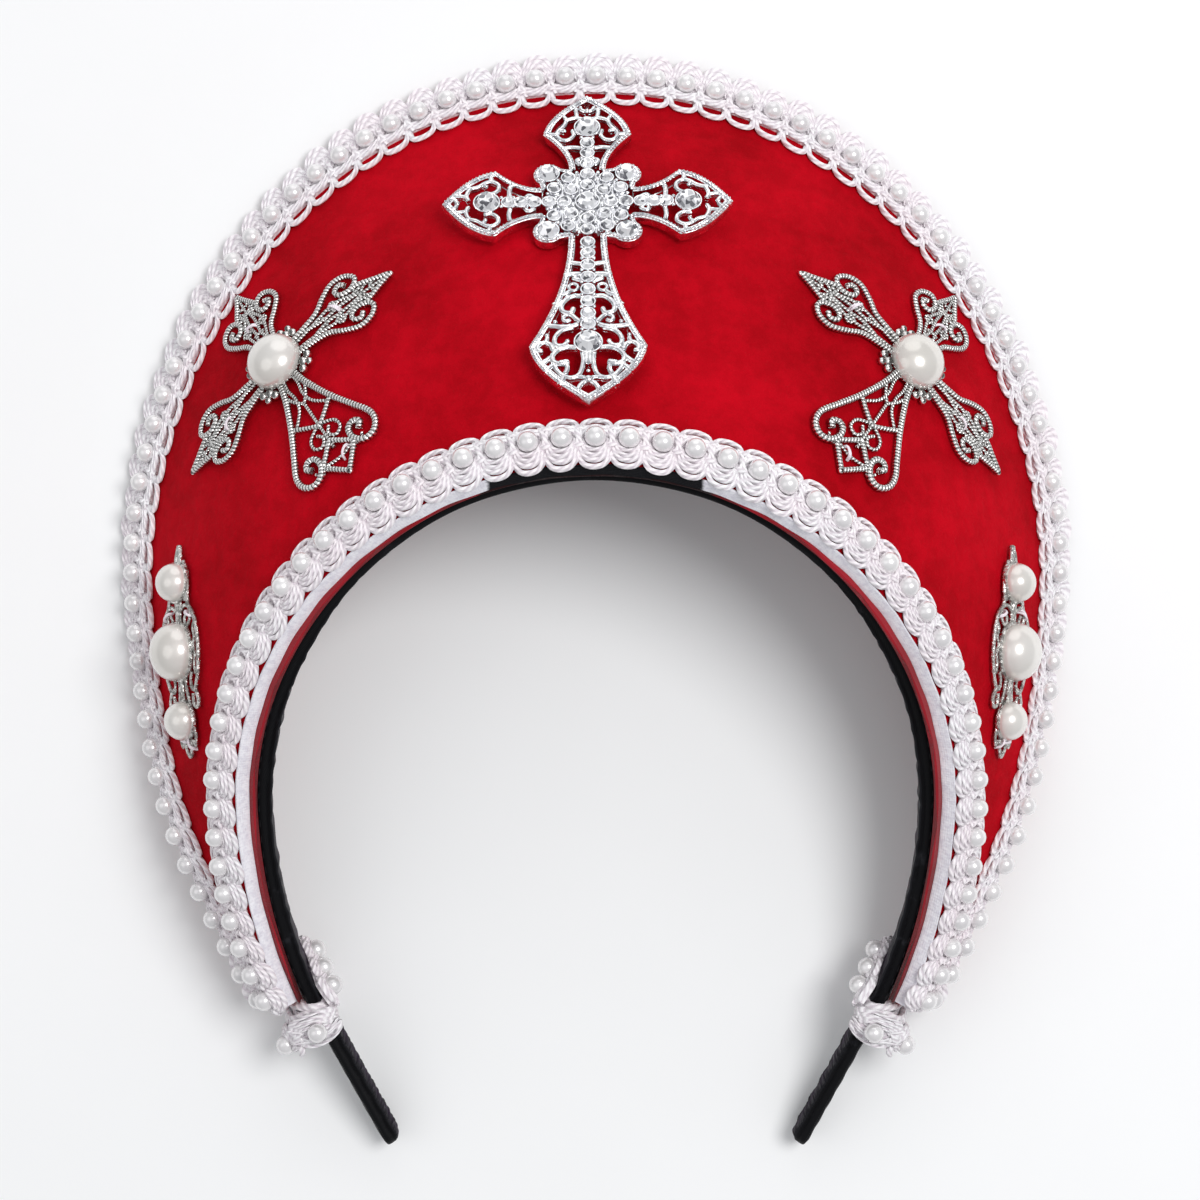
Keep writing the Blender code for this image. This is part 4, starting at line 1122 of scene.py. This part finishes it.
# wire radius, then its points; every wire off the arm's middle line has a twin on the other side
SHORT_ARM_WIRES = (
    (0.58, ((8.6, 2.6), (12.6, 3.6), (15.6, 5.9), (18.8, 7.7), (21.8, 7.2), (23.5, 5.2), (22.8, 3.5),
            (20.8, 2.7), (18.8, 3.5), (18.5, 5.1), (20.0, 5.9), (20.9, 4.8))),
    (0.46, ((8.0, 1.2), (11.5, 1.7), (15.0, 2.4), (18.2, 2.3), (21.2, 1.2), (23.4, 1.9))),
    (0.46, ((7.4, 2.4), (10.5, 1.2), (14.0, 0.6), (17.5, 0.9), (20.5, 0.7), (22.8, 0.4))),
    (0.40, ((15.2, 2.2), (16.4, 3.4), (17.6, 2.4), (16.4, 1.4), (15.2, 2.2))),
    (0.52, ((21.6, 3.2), (24.0, 2.5), (27.0, 1.2), (29.8, 0.15))),
    (0.40, ((22.6, 0.2), (24.0, 1.5), (25.4, 2.0))),
    (0.36, ((25.8, 0.0), (25.0, 0.9), (26.6, 1.1))),
)
SHORT_ARM_BARS = (
    (0.40, ((22.6, 0.0), (26.0, 0.0), (29.6, 0.0))),
    (0.44, ((13.2, -1.4), (13.6, 0.0), (13.2, 1.4))),
    (0.44, ((21.6, -3.2), (22.4, 0.0), (21.6, 3.2))),
)
LONG_ARM_WIRES = (
    (0.66, ((8.6, 2.6), (13.4, 4.0), (18.5, 5.9), (24.0, 8.4), (28.0, 10.2), (31.0, 10.1), (33.0, 8.4),
            (32.9, 6.0), (30.6, 4.4), (28.2, 4.6), (27.3, 6.1), (28.4, 7.4), (29.7, 6.5))),
    (0.46, ((8.2, 1.4), (11.5, 1.0), (15.0, 1.8), (18.4, 4.6))),
    (0.46, ((9.0, 2.6), (12.0, 1.6), (14.4, -0.1))),
    (0.50, ((17.4, 5.4), (19.6, 3.0), (21.6, 0.4), (22.0, -0.6))),
    (0.46, ((21.6, 0.6), (23.4, 3.3), (25.8, 3.6), (26.8, 1.9), (25.2, 0.7), (23.6, 1.6))),
    (0.56, ((27.0, 0.2), (29.4, 2.4), (31.4, 4.0), (33.8, 2.4), (36.6, 0.1))),
    (0.40, ((31.4, 4.0), (32.8, 5.4), (31.0, 6.4))),
)
LONG_ARM_BARS = (
    (0.46, ((14.2, 0.0), (18.0, 0.0), (21.8, 0.0))),
    (0.44, ((21.8, 0.0), (25.0, 0.0), (29.0, 0.0))),
    (0.44, ((31.4, -3.8), (32.2, 0.0), (31.4, 3.8))),
)
RIM_ARM_SHARE = 0.9
LONG_ARM_TIP = 36.8
SHORT_ARM_TIP = 30.0
COLLAR = 5.6
COLLAR_HEIGHT = 1.4
TIP_BEAD = 0.6
BEAD_HEIGHT = 1.2
# bead clusters between the arms: distance, offset and radius of each bead in mm
COLLAR_BEADS = ((6.9, 0.0, 1.05), (7.4, 1.7, 0.95), (7.4, -1.7, 0.95), (8.5, 0.0, 0.8))


PROBE = 0.02
velvet_surface = BVHTree.FromPolygons([v.co for v in velvet.data.vertices],
                                      [tuple(p.vertices) for p in velvet.data.polygons])


def velvet_below(place, x, y):
    """Point and normal of the velvet under a spot of the place's plane, in mm."""
    out = place.col[2].xyz
    start = place @ Vector((x * MM, y * MM, 0)) + out * PROBE
    hit, normal, _, _ = velvet_surface.ray_cast(start, -out)
    return hit or start - out * PROBE, normal or out


def laid(place, x, y, height):
    spot, normal = velvet_below(place, x, y)
    return spot + normal * height * MM


def rope(place, points, radius, quarters=0, share=1.0):
    """Wire laid on the velvet from points of an arm. From the collar it runs on under the cabochon."""
    start, aside = points[0]
    if 7 < start < 9.5 and place is cross_side:
        points = ((start - 3.2, aside * 0.8), *points)
    flat = [(*quarter_turned((aside, distance * share), quarters), 0) for distance, aside in points]
    path = [laid(place, x, y, WIRE_LIFT + radius) for x, y, _ in smooth_path(flat, 0.5)]
    stout = STOUT if radius > STOUT_WIRE and place is cross_side else SLENDER
    return cord_mesh("wire", path, radius * stout * MM, ROPE_PITCH, sides=2)


def twin_ropes(place, wires, quarters=0, share=1.0):
    """Each wire and its twin on the other side of the arm."""
    return [rope(place, [(distance, side * aside) for distance, aside in points], radius, quarters, share)
            for radius, points in wires for side in (1, -1)]


def round_rope(name, place, ring, height, radius, step, sides=1):
    path = [laid(place, x, y, height) for x, y, _ in smooth_path(ring, step, closed=True)]
    return cord_mesh(name, path, radius * MM, ROPE_PITCH, closed=True, sides=sides)


def filigree_cross(name, place):
    wires = []
    for quarters in range(4):
        long_arm = quarters == 2
        share = RIM_ARM_SHARE if quarters == 0 else 1.0
        wires += twin_ropes(place, LONG_ARM_WIRES if long_arm else SHORT_ARM_WIRES, quarters, share)
        for radius, points in (LONG_ARM_BARS if long_arm else SHORT_ARM_BARS):
            wires.append(rope(place, points, radius, quarters, share))
        tip = LONG_ARM_TIP if long_arm else SHORT_ARM_TIP * share
        wires.append(cast_bead(*laid(place, *quarter_turned((0, tip), quarters), 1.0), TIP_BEAD * MM))
        for distance, aside, radius in COLLAR_BEADS:
            diagonal = math.sqrt(0.5)
            x, y = quarter_turned(((distance + aside) * diagonal, (distance - aside) * diagonal), quarters)
            wires.append(cast_bead(*laid(place, x, y, BEAD_HEIGHT), radius * MM))
    ring = [(x, y, 0) for x, y in circle(COLLAR, 24)]
    wires.append(round_rope("collar", place, ring, COLLAR_HEIGHT, 0.55, 0.5, sides=2))
    return joined(name, wires)


def cabochon(name, place, x, y, diameter, height):
    """Half-round pearl, a dome on a low girdle, seated on the metal and square to the velvet under it."""
    spot, normal = velvet_below(place, x, y)
    right = place.col[1].xyz.cross(normal).normalized()
    lift = SMALL_CABOCHON_LIFT if diameter < SMALL_CABOCHON else CABOCHON_LIFT
    seat = placed(right, normal.cross(right), normal, spot + normal * lift * MM)
    dome = added(bpy.ops.mesh.primitive_uv_sphere_add, segments=48, ring_count=32, radius=1)
    dome.name = name
    for vertex in dome.data.vertices:
        x, y, z = vertex.co
        if z < 0:
            z = max(z, -GIRDLE) * 1.2
        z *= height * (DOME_FULLNESS if z > 0 else 1)
        vertex.co = Vector((x * diameter / 2, y * diameter / 2, z)) * MM
    dome.data.transform(seat)
    bpy.ops.object.shade_smooth()
    return dome


old_silver = Finish("antique_silver", {"Metallic": 1.0, "Roughness": 0.3})
ridges = old_silver.stripes(2 * math.pi, 2 * math.pi)
hollows = 1 - old_silver.ramp(ridges, 0.05, 0.5)
tarnish = old_silver.patches(0.4, 0.7, 420, 4, 0.65)
blackened = hollows * 0.85 + tarnish * 0.15
old_silver.colour(blackened, (0.90, 0.89, 0.87, 1), (0.07, 0.07, 0.065, 1))
old_silver.paint("Roughness", 0.22 + tarnish * 0.18)
old_silver.bump(ridges, 0.16 * MM)

cast_silver = Finish("cast_silver", {"Metallic": 1.0, "Roughness": 0.25})
mottled = cast_silver.patches(0.40, 0.64, 900, 4, 0.7)
cast_silver.colour(mottled, (0.80, 0.79, 0.76, 1), (0.25, 0.245, 0.23, 1))
cast_silver.paint("Roughness", 0.2 + mottled * 0.2)
cast_silver.bump(mottled, 0.12 * MM)

ivory_pearl = Finish("ivory_pearl", {
    "Metallic": 0.30, "Roughness": 0.24, "Specular IOR Level": 0.6,
    "Coat Weight": 1.0, "Coat Roughness": 0.05,
})
depths = ivory_pearl.patches(0.3, 0.7, 70, 3)
ivory_pearl.colour(depths, (0.74, 0.705, 0.655, 1), (0.82, 0.79, 0.755, 1))

cross_side = velvet_frame(SIDE_CROSS_TURN, SIDE_CROSS_ACROSS) @ Matrix.Rotation(-SIDE_CROSS_TWIST, 4, "Z")
for side in ("right", "left"):
    filigree = filigree_cross("filigree_cross_" + side, cross_side)
    dome = cabochon("large_cabochon_" + side, cross_side, 0, 0, SIDE_CABOCHON, SIDE_CABOCHON_HEIGHT)
    if side == "left":
        mirrored(filigree)
        mirrored(dome)
    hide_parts("side_cross_" + side)
    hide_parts("side_cross_cabochon_" + side)
    old_silver.on(filigree)
    ivory_pearl.on(dome)
    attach(filigree, "root")
    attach(dome, "root")


# The side ornaments: the same silver cast in a long pierced form, from a pointed leaf at the top to a loop,
# with three cabochons. Distances run from its middle cabochon to the leaf.
ORNAMENT_TURN = 0.64
ORNAMENT_ACROSS = 0.492
ORNAMENT_TWIST = math.radians(36.0)
ORNAMENT_WIRES = (
    (0.50, ((8.6, 1.0), (9.6, 3.2), (8.6, 5.6), (6.0, 7.6), (2.0, 8.7), (-2.0, 8.7), (-5.6, 7.9),
            (-8.4, 6.3))),
    (0.50, ((-7.6, 4.4), (-8.6, 6.4), (-10.8, 7.4), (-12.2, 6.4), (-11.4, 5.0), (-9.2, 5.2))),
    (0.42, ((8.6, 5.4), (6.4, 5.2), (5.2, 3.9), (6.6, 2.9), (8.0, 3.9))),
    (0.42, ((6.0, 7.4), (4.4, 6.6), (2.6, 7.2), (0.8, 6.6), (-1.2, 7.2), (-3.2, 6.6), (-5.2, 7.0))),
    (0.42, ((-4.6, 5.2), (-6.4, 4.2), (-8.4, 4.8), (-8.2, 6.2))),
    (0.46, ((-5.8, 1.6), (-9.0, 2.0), (-12.0, 3.2))),
    (0.42, ((6.4, 0.8), (9.0, 0.9), (11.4, 1.4))),
    (0.50, ((11.6, 3.9), (9.6, 4.6), (8.4, 5.6))),
    (0.50, ((19.0, 1.9), (16.4, 3.6), (12.6, 4.2), (10.6, 3.2))),
    (0.44, ((-16.6, 3.6), (-18.4, 3.9), (-20.2, 3.2), (-19.0, 2.4))),
)
ORNAMENT_BARS = (
    (0.62, ((-6.0, 0.0), (-8.6, 0.0), (-11.0, 0.0))),
    (0.52, ((-17.6, -1.2), (-20.4, -1.4), (-22.4, 0.0), (-20.4, 1.4), (-18.6, 1.4))),
    (0.50, ((6.0, 0.0), (9.0, 0.0), (11.0, 0.0))),
)
# folded along its middle, over the top cabochon
LEAF_WIRES = (
    (0.62, ((18.0, 0.9), (20.4, 0.6), (22.4, 0.05))),
    (0.50, ((18.0, 0.0), (20.6, 0.0), (22.6, 0.0))),
)
# name, distance, diameter and height
ORNAMENT_CABOCHONS = (("top", 14.6, 8.4, 4.2), ("middle", 0.0, 12.4, 5.6), ("low", -14.6, 8.4, 4.2))


def side_ornament(name, place):
    wires = twin_ropes(place, LEAF_WIRES) + twin_ropes(place, ORNAMENT_WIRES)
    wires += [rope(place, points, radius) for radius, points in ORNAMENT_BARS]
    for _, distance, diameter, _ in ORNAMENT_CABOCHONS:
        ring = [(x, distance + y, 0) for x, y in circle(diameter / 2 - 0.2, 16)]
        wires.append(round_rope("cup", place, ring, 1.3, 0.6, 0.6))
    return joined(name, wires)


ornament_twist = Matrix.Rotation(math.pi / 2 - ORNAMENT_TWIST, 4, "Z")
ornament_place = velvet_frame(ORNAMENT_TURN, ORNAMENT_ACROSS) @ ornament_twist
for side in ("right", "left"):
    metal = side_ornament("filigree_ornament_" + side, ornament_place)
    pieces = [metal]
    for label, distance, diameter, height in ORNAMENT_CABOCHONS:
        dome = cabochon(f"cabochon_{label}_{side}", ornament_place, 0, distance, diameter, height)
        pieces.append(dome)
        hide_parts(f"ornament_cabochon_{label}_{side}")
        ivory_pearl.on(dome)
    if side == "left":
        for piece in pieces:
            mirrored(piece)
    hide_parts("side_ornament_" + side)
    cast_silver.on(metal)
    for piece in pieces:
        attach(piece, "root")


# The stitches: short white and pink threads that tie each side cross and ornament to the velvet.
STITCH = 1.5
STRAND = 0.22 * MM
STRAND_TWIST = 0.5 * MM
# share of the stitch's half length and height over the velvet
STITCH_PATH = ((-1, 0.4), (-0.6, 1.8), (0.6, 1.8), (1, 0.4))
# place in mm on the piece and way of the stitch in degrees
CROSS_STITCHES = ((-16.6, 1.6, 60), (16.4, -0.6, -30), (0.8, 15.4, 20), (-1.4, -32.0, -50))
ORNAMENT_STITCHES = ((-5.2, 7.6, 30), (4.6, 7.8, -30), (-1.4, -19.4, 60), (1.6, -19.0, 10))


def stitch(place, x, y, way, jitter):
    threads = []
    for _ in range(3):
        angle = math.radians(way + jitter.uniform(-14, 14))
        dx, dy = STITCH * math.cos(angle), STITCH * math.sin(angle)
        x += jitter.uniform(-0.25, 0.25)
        y += jitter.uniform(-0.25, 0.25)
        points = [laid(place, x + dx * share, y + dy * share, height) / MM for share, height in STITCH_PATH]
        path = [point * MM for point in smooth_path(points, 0.4)]
        threads.append(cord_mesh("strand", path, STRAND, STRAND_TWIST))
    return threads


thread_finish = Finish("thread", {"Roughness": 0.6, "Specular IOR Level": 0.3})
spun = thread_finish.stripes(2 * math.pi, 12.0)
thread_finish.colour(spun, (0.93, 0.78, 0.86, 1), (0.96, 0.93, 0.97, 1))
thread_finish.bump(spun, 0.05 * MM)
for side in ("right", "left"):
    strands = []
    for place, table in ((cross_side, CROSS_STITCHES), (ornament_place, ORNAMENT_STITCHES)):
        for x, y, way in table:
            strands += stitch(place, x, y, way, worker)
    threads = joined("stitches_" + side, strands)
    if side == "left":
        mirrored(threads)
    thread_finish.on(threads)
    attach(threads, "root")


# The studio: pale floor under soft lights, seen from straight above. The camera stands 0.6 m up.
floor = added(bpy.ops.mesh.primitive_plane_add, size=4)
floor.name = "floor"
pale = Finish("pale_floor", {"Roughness": 0.6, "Specular IOR Level": 0.2})
pale.colour(pale.noise(30, 2), (0.93, 0.93, 0.93, 1), (0.95, 0.95, 0.95, 1))
floor.data.materials.append(pale.material)

CAMERA_HEIGHT = 0.6
CAMERA_ASIDE = 0.9 * MM
# half the width that the camera sees, as a share of its distance
VIEW_HALF = 0.222
camera_data = bpy.data.cameras.new("camera")
camera_data.sensor_width = 36
camera_data.lens = 18 / VIEW_HALF
camera = bpy.data.objects.new("camera", camera_data)
camera.location = (CAMERA_ASIDE, 0, CAMERA_HEIGHT)
bpy.context.scene.collection.objects.link(camera)
bpy.context.scene.camera = camera

# name, position, size, power in watts: a round key up on the right, weak fill and top lights, and a low light
# behind the top that the tilted metal mirrors
LIGHTS = (
    ("key", (0.50, 0.22, 1.20), 0.62, 9.0),
    ("fill", (-0.90, 0.0, 1.0), 1.0, 1.4),
    ("top", (0.0, 0.2, 1.6), 1.6, 1.6),
    ("back", (0.0, 1.3, 0.42), 1.3, 3.4),
)
for name, spot, size, power in LIGHTS:
    light = bpy.data.lights.new(name, "AREA")
    light.shape = "DISK"
    light.size = size
    light.energy = power
    lamp = bpy.data.objects.new(name, light)
    lamp.location = spot
    lamp.rotation_euler = (-Vector(spot)).to_track_quat("-Z", "Y").to_euler()
    bpy.context.scene.collection.objects.link(lamp)
world = bpy.data.worlds.new("studio")
world.use_nodes = True
world.node_tree.nodes["Background"].inputs["Color"].default_value = (0.9, 0.92, 0.95, 1)
world.node_tree.nodes["Background"].inputs["Strength"].default_value = 0.48
bpy.context.scene.world = world
bpy.context.scene.view_settings.view_transform = "Standard"
